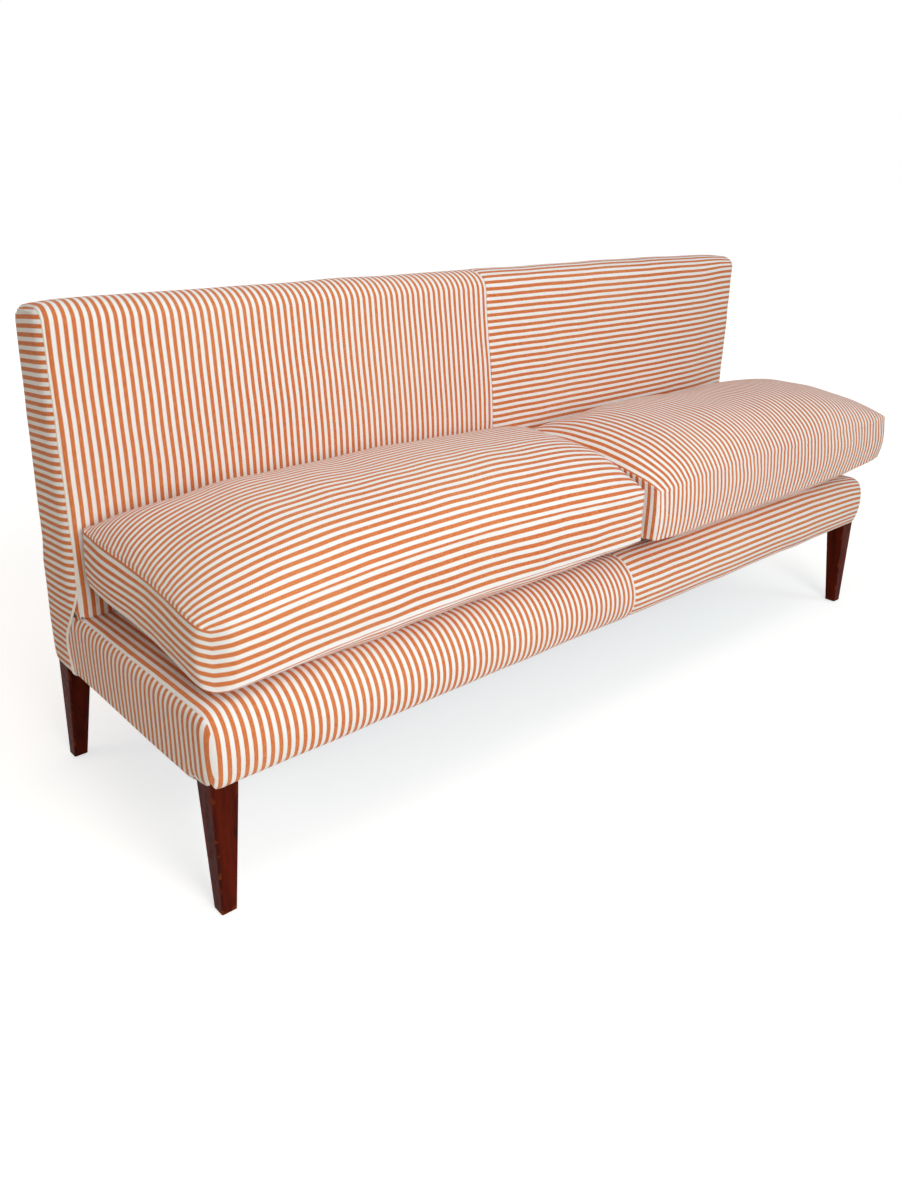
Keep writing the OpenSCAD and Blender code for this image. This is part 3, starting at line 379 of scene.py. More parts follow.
def cloth_place(tree):
    """The piece's own flat place in the cloth, in metres."""
    return node(tree, "ShaderNodeUVMap", uv_map="cloth").outputs[0]


ticking_material, tree, shader = material(
    "ticking_stripe", sheen_weight=0.12, sheen_roughness=0.5, specular_ior_level=0.18
)
weave = use_group(tree, ticking, {"Cloth": cloth_place(tree)})
fade = noise(tree, own_place(tree), 2.2, 2.0)
white_yarn = blended(tree, calc(tree, "MULTIPLY", weave["Slub"], 0.8), CREAM, CREAM_SHADE)
fleck_share = calc(
    tree, "MULTIPLY", weave["Fleck"], ramp(tree, weave["Slub"], 0.35, 0.65, 0.2, 1.0)
)
terracotta_yarn = blended(tree, fleck_share, TERRACOTTA, TERRACOTTA_PALE)
terracotta_yarn = blended(
    tree, ramp(tree, fade, 0.35, 0.7, 0.0, 0.16), terracotta_yarn, TERRACOTTA_PALE
)
yarn = blended(tree, weave["Band"], white_yarn, terracotta_yarn)
looks(tree, shader, yarn, ramp(tree, weave["Height"], 0.0, 1.0, 0.92, 0.8))
raised(tree, shader, weave["Height"], 0.35, 0.0005)
print("ticking material has", len(tree.nodes), "nodes")

# %% [markdown]
# ## Other weaves and wood
#
# The hidden cloths are plain weaves: a coarse one for jute and hessian, a fine one
# for calico and tape. One group serves them all. A second group serves the woods:
# long streaks along the grain, and short dark pores.

# %% Build the plain weave and the wood grain as node groups
plain_weave, given, result = group(
    "plain_weave",
    [("Place", "Vector", None), ("Thread", "Float", 0.001), ("Unevenness", "Float", 0.3)],
    [("Thread Mask", "Float"), ("Height", "Float")],
)
axes = node(plain_weave, "ShaderNodeSeparateXYZ", {0: given["Place"]}).outputs
first = wave_along(plain_weave, axes["X"], given["Thread"])
second = wave_along(plain_weave, calc(plain_weave, "ADD", axes["Y"], axes["Z"]), given["Thread"])
checks = calc(plain_weave, "MULTIPLY", first, second)
rough_yarn = calc(plain_weave, "SUBTRACT", noise(plain_weave, given["Place"], 140.0, 3.0), 0.5)
uneven = calc(plain_weave, "MULTIPLY", rough_yarn, given["Unevenness"])
even = calc(plain_weave, "MULTIPLY_ADD", checks, 0.5, 0.5)
mask = calc(plain_weave, "ADD", even, uneven, clamp=True)
plain_weave.links.new(mask, result["Thread Mask"])
plain_weave.links.new(mask, result["Height"])

wood_grain, given, result = group(
    "wood_grain",
    [("Place", "Vector", None), ("Streaks", "Float", 60.0), ("Pores", "Float", 420.0)],
    [("Streak", "Float"), ("Pore", "Float"), ("Height", "Float")],
)
streak = noise(wood_grain, given["Place"], given["Streaks"], 5.0, 0.6)
pore = ramp(wood_grain, noise(wood_grain, given["Place"], given["Pores"], 2.0), 0.6, 0.74)
PORE_DEPTH = 0.6
height = calc(wood_grain, "MULTIPLY_ADD", pore, -PORE_DEPTH, streak)
for label, value in (("Streak", streak), ("Pore", pore), ("Height", height)):
    wood_grain.links.new(value, result[label])
print("groups:", [g.name for g in bpy.data.node_groups])


# %% Make the plain cloths
def plain_cloth(name, light, dark, thread, unevenness, bump_height, own_map=False, **values):
    """A plain woven cloth in two tones. It reads its UV map, or the object's own coordinates."""
    made, tree, shader = material(name, specular_ior_level=0.15, **values)
    place = cloth_place(tree) if own_map else own_place(tree)
    inputs = {"Place": place, "Thread": thread, "Unevenness": unevenness}
    cloth = use_group(tree, plain_weave, inputs)
    mask = cloth["Thread Mask"]
    looks(tree, shader, blended(tree, mask, dark, light), ramp(tree, mask, 0, 1, 0.97, 0.85))
    raised(tree, shader, cloth["Height"], 0.5, bump_height)
    return made


cream_fold = plain_cloth(
    "cream_fold", srgb(250, 247, 240), srgb(234, 227, 214), 0.0011, 0.4, 0.0003
)
zip_tape = plain_cloth("zip_tape", srgb(232, 222, 204), srgb(204, 192, 170), 0.0008, 0.3, 0.0003)

jute_flat = plain_cloth(
    "jute_straps", srgb(196, 160, 108), srgb(142, 106, 62), 0.0034, 0.7, 0.0011, True
)
hessian_flat = plain_cloth(
    "hessian_cloth", srgb(176, 146, 100), srgb(112, 86, 52), 0.0024, 0.7, 0.0008, True
)
calico_flat = plain_cloth(
    "calico_cloth", srgb(226, 216, 196), srgb(198, 186, 164), 0.0009, 0.4, 0.0003, True
)
dust_flat = plain_cloth(
    "black_dust_cloth", srgb(44, 44, 48), srgb(22, 22, 25), 0.0012, 0.9, 0.0003, True
)


def spongy(name, light, dark, cell_scale, bump_height, **values):
    """Foam or fibre: small cells in two tones."""
    made, tree, shader = material(name, specular_ior_level=0.1, **values)
    place = own_place(tree)
    voronoi = node(tree, "ShaderNodeTexVoronoi", {"Vector": place, "Scale": cell_scale})
    cells = voronoi.outputs["Distance"]
    tufts = noise(tree, place, cell_scale / 9, 4.0)
    share = calc(tree, "MULTIPLY", ramp(tree, cells, 0.1, 0.6), tufts)
    looks(tree, shader, blended(tree, share, light, dark), ramp(tree, tufts, 0.3, 0.7, 0.85, 0.98))
    raised(tree, shader, cells, 0.6, bump_height)
    return made


foam = spongy("foam", srgb(244, 230, 172), srgb(206, 180, 112), 900, 0.0006)
fibre = spongy("fibre_fill", srgb(250, 249, 245), srgb(220, 219, 214), 260, 0.0015)


# %% Make the woods and the metals
def wood(name, light, dark, pore_colour, stretch, **values):
    """Wood whose grain runs along the axis that is stretched."""
    made, tree, shader = material(name, **values)
    grain = use_group(tree, wood_grain, {"Place": scaled(tree, own_place(tree), stretch)})
    tone = blended(tree, ramp(tree, grain["Streak"], 0.3, 0.72), dark, light)
    tone = blended(tree, calc(tree, "MULTIPLY", grain["Pore"], 0.7), tone, pore_colour)
    raised(tree, shader, grain["Height"], 0.25, 0.0003)
    return made, tree, shader, tone, grain


frame_timber, tree, shader, tone, grain = wood(
    "frame_timber", srgb(214, 180, 126), srgb(186, 146, 92), srgb(140, 102, 60), (0.12, 1.0, 1.0)
)
looks(tree, shader, tone, ramp(tree, grain["Streak"], 0.3, 0.7, 0.7, 0.55))

# The legs are polished, and worn paler along their edges and at the foot. The wear comes
# from an attribute that each leg's mesh carries.
mahogany, tree, shader, tone, grain = wood(
    "mahogany", srgb(92, 24, 7), srgb(54, 11, 3), srgb(28, 6, 2), (1.0, 1.0, 0.07),
    coat_weight=0.02, coat_roughness=0.3, specular_ior_level=0.03,
)
WORN_COLOUR = srgb(140, 66, 30)
wear = node(tree, "ShaderNodeAttribute", attribute_name="wear").outputs["Fac"]
scuffs = noise(tree, own_place(tree), 75.0, 4.0)
rubbed = calc(tree, "MULTIPLY", wear, ramp(tree, scuffs, 0.5, 0.68))
worn = blended(tree, calc(tree, "MULTIPLY", rubbed, 0.5), tone, WORN_COLOUR)
looks(tree, shader, worn, ramp(tree, scuffs, 0.3, 0.7, 0.42, 0.58))


def metal(name, light, dark, roughness):
    """A metal with faint streaks and stains."""
    made, tree, shader = material(name, metallic=1.0)
    stains = noise(tree, own_place(tree), 180.0, 5.0)
    gloss = ramp(tree, stains, 0.3, 0.7, roughness - 0.08, roughness + 0.1)
    looks(tree, shader, blended(tree, stains, light, dark), gloss)
    raised(tree, shader, stains, 0.1, 0.0001)
    return made


zinc_steel = metal("zinc_steel", (0.62, 0.63, 0.64, 1), (0.42, 0.43, 0.45, 1), 0.38)
zip_metal = metal("zip_metal", (0.66, 0.63, 0.57, 1), (0.48, 0.45, 0.4, 1), 0.3)
thread_material = plain_cloth(
    "sewing_thread", srgb(238, 226, 206), srgb(206, 190, 164), 0.0007, 0.5, 0.0002
)
print("materials:", len(bpy.data.materials))

# %% [markdown]
# ## From a flat grid to a piece of cloth
#
# Each cover is cut flat and pulled over the padding, so it is built as a grid of
# places with the same grid of flat places beside it. A cloth has two faces and an
# edge: the outer face is the grid, the inner one lies a cloth's thickness inside
# it, and a rim closes the cut edges. Cells can be left out, as where the cloth is
# cut round a leg.


# %% Helpers for grids and cloth
def normals_of(points):
    """Unit normals of a grid of points, from its two directions."""
    down = np.gradient(points, axis=0)
    right = np.gradient(points, axis=1)
    out = np.cross(down, right)
    return out / np.maximum(np.linalg.norm(out, axis=2, keepdims=True), 1e-12)


def outward(points, inside):
    """The grid's normals, turned away from a point inside the piece."""
    out = normals_of(points)
    return out if np.sum(out * (points - np.asarray(inside))) > 0 else -out


def new_object(name, mesh, finish, body, smooth_angle=50):
    """Links a mesh as an object with its material, and lets it ride on a body."""
    mesh.validate()
    mesh.materials.append(finish)
    mesh.shade_smooth()
    mesh.set_sharp_from_angle(angle=math.radians(smooth_angle))
    made = linked(name, mesh)
    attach(made, body)
    return made


def make_mesh(name, points, faces, face_uvs=None):
    """A mesh from places in frame metres, with the flat place of every face corner."""
    mesh = bpy.data.meshes.new(name)
    mesh.from_pydata([tuple(p) for p in points], [], faces)
    if face_uvs is not None:
        layer = mesh.uv_layers.new(name="cloth")
        layer.data.foreach_set("uv", np.asarray(face_uvs, np.float32).ravel())
    return mesh


def cell_faces(rows, columns, keep=None, first=0):
    """The faces of a grid, counted row by row, without the cells that aren't kept."""
    faces = []
    for i in range(rows - 1):
        for j in range(columns - 1):
            if keep is None or keep[i, j]:
                a = first + i * columns + j
                faces.append((a, a + columns, a + columns + 1, a + 1))
    return faces


def cloth_part(points, flat, inside, keep=None, thick=CLOTH_T):
    """Places, faces and flat places of a cloth with two faces and a closed rim."""
    rows, columns = points.shape[:2]
    out = outward(points, inside)
    turned = np.sum(normals_of(points) * out) < 0
    outer = cell_faces(rows, columns, keep)
    if turned:
        outer = [face[::-1] for face in outer]
    count = rows * columns
    edges = {}
    for face in outer:
        for a, b in zip(face, face[1:] + face[:1]):
            edges[(a, b)] = True
    inner = [tuple(count + k for k in face[::-1]) for face in outer]
    rim = [(b, a, a + count, b + count) for a, b in edges if (b, a) not in edges]
    faces = outer + inner + rim
    places = np.concatenate([points.reshape(-1, 3), (points - out * thick).reshape(-1, 3)])
    uv = np.tile(flat.reshape(-1, 2), (2, 1))
    corners = np.array([k for face in faces for k in face])
    used = np.unique(corners)
    renumber = np.full(2 * count, -1)
    renumber[used] = np.arange(len(used))
    faces = [tuple(int(renumber[k]) for k in face) for face in faces]
    return places[used], faces, uv[corners]


def joined_mesh(name, parts):
    """One mesh from several parts. Their places are in drafting millimetres."""
    places, faces, corners, start = [], [], [], 0
    for part_places, part_faces, part_uv in parts:
        places.append(part_places)
        faces += [tuple(k + start for k in face) for face in part_faces]
        corners.append(part_uv)
        start += len(part_places)
    return make_mesh(name, to_frame(np.concatenate(places)), faces, np.concatenate(corners))


def cloth_mesh(name, points, flat, inside, keep=None, thick=CLOTH_T):
    """A cloth with two faces and a rim. Points are in millimetres, and flat in metres."""
    return joined_mesh(name, [cloth_part(points, flat, inside, keep, thick)])


def lengths_along(points, axis):
    """Distance walked along one direction of a grid, from its start."""
    steps = np.linalg.norm(np.diff(points, axis=axis), axis=2)
    zero = np.zeros_like(np.take(steps, [0], axis=axis))
    return np.concatenate([zero, np.cumsum(steps, axis=axis)], axis=axis)


def waves(points, wavelength, seed, count=7):
    """A smooth uneven field of about -1 to 1 at the given places, fixed by its seed."""
    draws = np.random.default_rng(seed)
    total = np.zeros(points.shape[:-1])
    for _ in range(count):
        way = draws.normal(size=3)
        way /= np.linalg.norm(way)
        turn = 2 * math.pi / (wavelength * draws.uniform(0.7, 1.5))
        total += np.sin(points @ way * turn + draws.uniform(0, 2 * math.pi))
    return total / math.sqrt(count)


def through(keys, per_part):
    """A smooth curve through key points, given for each column as (columns, keys, 2)."""
    padded = np.concatenate(
        [2 * keys[:, :1] - keys[:, 1:2], keys, 2 * keys[:, -1:] - keys[:, -2:-1]], axis=1
    )
    out = []
    for k in range(keys.shape[1] - 1):
        a, b, c, d = (padded[:, k + i] for i in range(4))
        for t in np.arange(per_part) / per_part:
            out.append(
                0.5
                * (
                    2 * b
                    + (c - a) * t
                    + (2 * a - 5 * b + 4 * c - d) * t**2
                    + (3 * b - a - 3 * c + d) * t**3
                )
            )
    out.append(keys[:, -1])
    return np.stack(out, axis=1)


def columns_between(low, high, step, near_low=(), near_high=()):
    """Places along a piece: crowded near its two ends, and evenly spaced between."""
    first = [low + d for d in near_low]
    last = [high - d for d in near_high]
    inner_low = first[-1] if first else low
    inner_high = min(last) if last else high
    n = max(2, int(round((inner_high - inner_low) / step)))
    return np.array(sorted({*first, *np.linspace(inner_low, inner_high, n + 1), *last}))


# %% [markdown]
# ## Seams at the corners
#
# Where a cover meets an end panel, both cloths bend into the seam. The end panels
# are filled out like shallow pillows, so they bend over a wider strip than the
# covers. Both reach the seam at about 45 degrees. A small groove lies on that line,
# and the cloth beside it is drawn in unevenly from stitch to stitch.

# %% The bends beside a corner seam
COVER_BEND = (16.0, 4.6)
PANEL_BEND = (38.0, 9.5)
SEAM_IN, SEAM_D = PANEL_BEND[1], COVER_BEND[1]
# Depth and width of the dips: at the end's seam, and a narrow and a wide one at mid-length
SEAM_GROOVE, MID_GROOVE, MID_DIP = (0.7, 1.3), (1.5, 2.6), (0.7, 14.0)
PUCKER_WAVE, UNEVEN_WAVE = 42.0, 190.0
# Seeds of the uneven fields: for the left hand's cloth and the right hand's
SEEDS = {
    "base": (11, 21), "back": (31, 41), "outside": (51, 61),
    "base_end": (71, 81), "back_end": (91, 101),
}
END_STEPS = SEAM_IN + np.array([0, 0.4, 1.0, 1.8, 2.9, 4.3, 6.2, 8.5, 11.5, 16, 22])
MID_STEPS = np.array([0.15, 0.6, 1.2, 2.0, 3.2, 5, 8, 12, 18])


def bend(distance, shape):
    """How far the surface falls beside the seam: at 45 degrees there, and level further in."""
    width, depth = shape
    return depth * np.clip(1 - distance / width, 0, 1) ** (width / depth)


def groove(distance, depth, width):
    """A narrow dip beside a seam."""
    return depth * np.exp(-((distance / width) ** 2))


def pucker(points, distance, seed, depth=0.5, reach=26.0):
    """Small pulls in the cloth beside a seam, which fade away from it."""
    return depth * waves(points, PUCKER_WAVE, seed) * np.exp(-distance / reach)


def drawn_to_seams(x, section, inside, seed, uneven=0.7):
    """A cover's surface through its sections along X, for the left half of the bench. It is
    rounded to the end seam, and dipped at the one at mid-length."""
    points = with_x(x, section)
    wide = np.broadcast_to(x[:, None], points.shape[:2])
    end_distance, mid_distance = wide + HALF - SEAM_IN, -wide
    out = outward(points, inside)
    fall = bend(end_distance, COVER_BEND) + groove(end_distance, *SEAM_GROOVE)
    fall += groove(mid_distance, *MID_GROOVE) + groove(mid_distance, *MID_DIP)
    fall += pucker(points, end_distance, seed) + pucker(points, mid_distance, seed + 1)
    fall -= uneven * waves(points, UNEVEN_WAVE, seed + 2)
    return points - out * fall[..., None]


# %% [markdown]
# ## The base
#
# The base is a shallow box of webbing and foam with a barrel front. Its cover runs
# from under the front rail, up over the swollen front, and back across the deck to
# where it is tucked in behind the seat. The two halves are sewn together at
# mid-length. On the left the stripes run from front to back, and on the right along
# the bench. The section is fuller at mid-length than at the ends, so the cover is a
# blend of two key sections.

# %% The base's section, from the hem over the front to the tuck
BASE_MID = np.array(
    [(46, 228), (27, 228), (13, 229.6), (2, 236), (-7, 248), (-13, 267), (-14.5, 285), (-12, 304),
     (-5, 322), (6, 338), (22, 352), (42, 360), (66, 360), (95, 358), (150, 357.7), (220, 357.7),
     (300, 357.7), (380, 357.7), (430, 357.7), (479, 357.7)]
)
BASE_END = np.array(
    [(46, 228), (27, 228), (14, 228.3), (5, 233), (-1, 243), (-5, 258), (-8, 275), (-9.5, 293),
     (-9, 312), (-7, 328), (-2, 342), (7, 352), (24, 357.3), (80, 357.7), (150, 357.7),
     (220, 357.7), (300, 357.7), (380, 357.7), (430, 357.7), (479, 357.7)]
)
BASE_END_POWER = 9
BASE_INSIDE = (0, 240, 290)


def base_section(x, per_part=4):
    """The base's outline in Y and Z at each place along it."""
    share = np.abs(x / HALF)[:, None, None] ** BASE_END_POWER
    return through(BASE_MID * (1 - share) + BASE_END * share, per_part)


def with_x(x, section):
    """Sections in Y and Z, put at their places along X: (columns, points, 3)."""
    wide = np.broadcast_to(x[:, None], section.shape[:2])
    return np.concatenate([wide[..., None], section], axis=2)


def leg_cells(points, corner_y):
    """Cells of a grid that lie under the frame where a leg comes through the cloth."""
    middle = (points[:-1, :-1] + points[1:, 1:]) / 2
    x, y, z = np.moveaxis(middle, 2, 0)
    beside = HALF - LEG_INSET - LEG_W - GAP < abs(x)
    beside &= abs(x) < HALF - LEG_INSET + GAP
    return beside & (y > corner_y - GAP) & (y < corner_y + LEG_W + GAP) & (z < HEM + 16)


def cover_columns(step=9.0):
    """Places along half the bench, from the end's seam to the one at mid-length."""
    inner_edge = -HALF + LEG_INSET + LEG_W + GAP
    return np.array(sorted([*columns_between(-HALF, 0, step, END_STEPS, MID_STEPS), inner_edge]))


# How many repeats of the stripe the photograph shows along half the bench, by how much of
# a repeat they start away from mid-length, and how much closer they lie going up
BASE_REPEATS, BACK_REPEATS, REAR_REPEATS = 68.0, 69.0, 67.0
BASE_SHIFT, BACK_SHIFT = 0.27, 0.37
BASE_CLOSER, BACK_CLOSER = 1.09, 1.038
SIDES = ((-1, "left"), (1, "right"))


def flat_places(points, stripes_along_bench, repeats, shift=0.0, closer=1.0):
    """The flat place of each point, in metres: across the stripes and along them."""
    down = lengths_along(points, 1)
    down = (down - down[:, :1]).mean(axis=0) * closer
    wide = (points[:, 0, 0] / HALF * repeats + shift) * STRIPE_REPEAT / MM
    x, s = np.meshgrid(wide, down, indexing="ij")
    pair = (s, x) if stripes_along_bench else (x, s)
    return np.stack(pair, axis=2) * MM


def add_cloth(name, node_name, mesh):
    """Makes a stretched cloth of a mesh, in place of a CAD node."""
    made = new_object(name, mesh, ticking_material, "frame")
    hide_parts(node_name)


def for_hand(side, points):
    """Points of the left half of the bench as they are, or mirrored for the right half."""
    return points * (-1, 1, 1) if side > 0 else points


def add_cover(name, node_name, side, points, flat, inside, keep):
    """Makes one half of a cover. Its flat depth is measured from its first full column on."""
    points = for_hand(side, points)
    flat = flat * (1, -1) if side > 0 else flat
    mesh = cloth_mesh(name, points, flat, inside, keep)
    add_cloth(name, node_name, mesh)


# %% Cover the base
for side, hand in SIDES:
    x = cover_columns()
    points = drawn_to_seams(x, base_section(x), BASE_INSIDE, SEEDS["base"][side > 0])
    flat = flat_places(points, side > 0, BASE_REPEATS, BASE_SHIFT, BASE_CLOSER)
    keep = ~leg_cells(points, LEG_INSET)
    name, node_name = "base_cloth_" + hand, "base_cover_" + hand
    add_cover(name, node_name, side, points, flat, BASE_INSIDE, keep)

# %% [markdown]
# ## The back
#
# The back is a padded frame, hollowed a little at the foot and rounded at the top.
# Its cover runs up from behind the seat, over the top, and a short way down the
# rear, where the outside back covers its edge. The padding is fullest at
# mid-length and a third of the way up, and flat at the ends. Low down at each end
# the cover wraps round the corner and shows beside the curved edge of the end panel.

# %% The back's section, from behind the seat over the top
BACK_BULGE = 36.0
BACK_LEAN = 0.55
BACK_INSIDE = (0, 520, 600)
TOP_X = np.array([-990, -965, -900, -700, -400, 0, 400, 700, 930, 990.0])
TOP_RISE = np.array([-7, -3, 0.5, 2, 4, 7, 9, 10, 7, 0.0])
FRONT_TO_TOP_MID, FRONT_TO_TOP_END = (62.0, 44.0), (30.0, 26.0)
REAR_R = 24.0
TOP_FALL = 10.0
TOP_FALL_FROM = 500


def back_top_z(x):
    """Height of the top of the back along the bench."""
    smooth = np.linspace(-HALF, HALF, 400)
    heights = np.interp(smooth, TOP_X, TOP_RISE)
    kernel = np.ones(15) / 15
    heights = np.convolve(np.pad(heights, 7, mode="edge"), kernel, mode="valid")
    return TOP + np.interp(x, smooth, heights)


def back_front_y(x, z):
    """Front face of the back at a place along it and a height."""
    t = np.clip((z - DECK) / (TOP - DECK), 0, 1)
    swell = (1 - np.abs(x / HALF) ** 4) * np.sin(np.pi * (t + BACK_LEAN * t * (1 - t)))
    right_end = 4.0 * np.clip(x / HALF, 0, 1) ** 6
    return SEAT - BACK_BULGE * swell + right_end


def back_section(x, up_steps=44, arc_steps=10):
    """The back's outline at each place: up the front, over the top, down to the turned edge."""
    share = np.abs(x / HALF) ** 8
    reach_y, reach_z = (
        a * (1 - share) + b * share for a, b in zip(FRONT_TO_TOP_MID, FRONT_TO_TOP_END)
    )
    top = back_top_z(x)
    low_z = top - reach_z

    def row(y, z):
        return np.stack([np.broadcast_to(y, x.shape), np.broadcast_to(z, x.shape)], axis=1)

    rows = [row(SEAT + 24.0, DECK + GAP), row(SEAT + 10.0, DECK + GAP)]
    for t in np.linspace(0, 1, up_steps)[:-1]:
        z = (DECK + GAP) * (1 - t) + low_z * t
        rows.append(row(back_front_y(x, z), z))
    start = back_front_y(x, low_z)
    whole_fall = TOP_FALL * (1 - 0.5 * share)
    rear_z = top - whole_fall
    rear_y = REAR_TOP - REAR_R

    def fall_share(y):
        return np.clip((y - TOP_FALL_FROM) / (rear_y - TOP_FALL_FROM), 0, 1) ** 2

    for a in np.linspace(0, math.pi / 2, arc_steps):
        y = start + reach_y * (1 - math.cos(a))
        rows.append(row(y, low_z + reach_z * math.sin(a) - whole_fall * fall_share(y)))
    last_y = start + reach_y
    for t in (0.25, 0.5, 0.75, 1.0):
        y = last_y * (1 - t) + rear_y * t
        rows.append(row(y, top - (top - rear_z) * fall_share(y)))
    for a in np.linspace(0, math.pi / 2, 9)[1:]:
        rows.append(row(rear_y + REAR_R * math.sin(a), rear_z - REAR_R + REAR_R * math.cos(a)))
    rows.append(row(REAR_TOP + 1.5, TURN_Z))
    return np.stack(rows, axis=1)


# Edge of the end panel: along the front corner, then curving to the rear at deck level
EDGE_Z = np.array([228, 236, 244, 266, 287, 314, 340, 362, 386, 408, 431, 470, 2000.0])
EDGE_Y = np.array([509, 510, 511, 516, 519.5, 513, 493, 478, 467, 461, 457.5, SEAT, SEAT])
WRAP_TOP = 452.0
# Below this height the folded edge turns from the front to the end, over this distance
FOLD_TURN, TURN_OVER = 470, 40
FLAP_LOW = 22
FLAP_ROWS = 55


def panel_edge_y(z):
    """Where the end panel's folded edge runs, at a height."""
    fine = np.linspace(EDGE_Z[0], 500, 300)
    line = np.interp(fine, EDGE_Z, EDGE_Y)
    kernel = np.ones(19) / 19
    line = np.convolve(np.pad(line, 9, mode="edge"), kernel, mode="valid")
    return np.interp(z, fine, line)


# %% Cover the back
for side, hand in SIDES:
    x = columns_between(-HALF, 0, 9.0, END_STEPS, MID_STEPS)
    points = drawn_to_seams(x, back_section(x * -side), BACK_INSIDE, SEEDS["back"][side > 0])
    flat = flat_places(points, side > 0, BACK_REPEATS, BACK_SHIFT, BACK_CLOSER)
    # The flap that wraps round the corner, low down, on the same bend as the end panel
    z, corner_y = points[0, :, 2].copy(), points[0, :, 1].copy()
    z[1], corner_y[1] = DECK - FLAP_LOW, corner_y[2]
    tuck = (SEAM_IN + 0.6) * np.clip(1 - (z - DECK - GAP) / 15, 0, 1.0) ** 2
    reach = np.maximum(panel_edge_y(z) + 9 - corner_y, 1.0)
    flaps, flap_flat = [], []
    for t in (0.12, 0.28, 0.46, 0.64, 0.82, 1.0):
        away = reach * t
        depth = np.maximum(bend(away, PANEL_BEND) + 0.2, tuck)
        flaps.append(np.stack([-HALF + depth, corner_y + away, z], axis=1))
        shift = np.zeros((len(z), 2))
        shift[:, 1 if side > 0 else 0] = -away * MM
        flap_flat.append(flat[0] + shift)
    points = np.concatenate([np.stack(flaps[::-1]), points])
    flat = np.concatenate([np.stack(flap_flat[::-1]), flat])
    keep = np.ones((points.shape[0] - 1, points.shape[1] - 1), bool)
    keep[: len(flaps)] = (z[:-1] < WRAP_TOP)[None, :] & (np.arange(len(z) - 1) > 0)[None, :]
    keep[: len(flaps), FLAP_ROWS:] = False
    name, node_name = "back_cloth_" + hand, "back_cover_" + hand
    add_cover(name, node_name, side, points, flat, BACK_INSIDE, keep)


# %% [markdown]
# ## The outside back
#
# The rear of the back is one cloth in two halves, hung from below the turned edge
# and stapled under the rear rail. It is stretched almost flat over a lining.


# %% Hang the outside back
KNEE_Z = 305.6


def outside_section(x, steps=26):
    """The outline of the rear: down from the turned edge, round the rear rail, to the hem."""
    rows = []
    low_r = 15.0
    foot_z = HEM + low_r
    for t in np.linspace(0, 1, steps):
        z = (TURN_Z - 1.0) * (1 - t) + foot_z * t
        rear = np.interp(z, [KNEE_Z, TURN_Z, TOP], [REAR, REAR_TOP + 1.5, REAR_TOP])
        rows.append((rear, z))
    for a in np.linspace(0, math.pi / 2, 7)[1:]:
        rows.append((REAR - low_r + low_r * math.cos(a), foot_z - low_r * math.sin(a)))
    rows.append((REAR - low_r - 15, HEM))
    rows.append((REAR - low_r - 30, HEM))
    return np.broadcast_to(np.array(rows), (len(x), len(rows), 2)).copy()


for side, hand in SIDES:
    x = cover_columns(12.0)
    points = drawn_to_seams(x, outside_section(x), BACK_INSIDE, SEEDS["outside"][side > 0], 0.3)
    flat = flat_places(points, side > 0, REAR_REPEATS)
    keep = ~leg_cells(points, REAR_LEG_Y)
    name, node_name = "outside_back_cloth_" + hand, "outside_back_" + hand
    add_cover(name, node_name, side, points, flat, BACK_INSIDE, keep)


# %% [markdown]
# ## The end panels
#
# Each end has two panels. The base's runs back under the other, with upright
# stripes, and is seamed along its top and its front corner. The back's has level
# stripes and covers the whole end of the back. Both are built in rows from the top
# down, turned under the frame at the bottom, and rounded towards their seams.

# %% Rows of an end panel and their front and rear edges
UNDER_R = 7.0
# How far a panel puffs out, how far from its seams it is full, and its unevenness
PUFF, PUFF_REACH, PUFF_WAVE = 2.2, 60, 230.0


def panel_rows(top_z, step):
    """Heights and insets in X of a panel's rows: down the end, and round to under the frame."""
    near_top = top_z - np.array([0, 0.4, 1, 1.8, 3, 4.5, 6.5, 9, 12, 16, 21, 27, 34])
    down = np.linspace(near_top[-1], HEM + UNDER_R, max(4, int((near_top[-1] - HEM) / step)))
    rows = [(z, 0.0) for z in [*near_top[:-1], *down]]
    for a in np.linspace(0, math.pi / 2, 6)[1:]:
        rows.append((HEM + UNDER_R * (1 - math.sin(a)), UNDER_R * (1 - math.cos(a))))
    for inset in (10.0, 16.0, 24.0, 32.0):
        rows.append((HEM, inset))
    return np.array(rows)


def inset_outline(section, inside, distance):
    """An outline in Y and Z, moved inwards by a distance."""
    step = np.gradient(section, axis=0)
    out = np.stack([step[:, 1], -step[:, 0]], axis=1)
    out /= np.linalg.norm(out, axis=1, keepdims=True)
    if np.sum(out * (section - np.array(inside)[1:])) < 0:
        out = -out
    return section - out * distance


def distance_to(places, outline):
    """Least distance from places in Y and Z to an outline."""
    a, b = outline[:-1], outline[1:]
    edge = b - a
    length = np.maximum((edge**2).sum(axis=1), 1e-9)
    t = np.clip(((places[:, None] - a) * edge).sum(axis=2) / length, 0, 1)
    return np.linalg.norm(places[:, None] - (a + t[..., None] * edge), axis=2).min(axis=1)


def edge_at(heights, line):
    """How far back a line in Y and Z lies, at some heights."""
    line = line[np.argsort(line[:, 1], kind="stable")]
    return np.interp(heights, line[:, 1], line[:, 0])


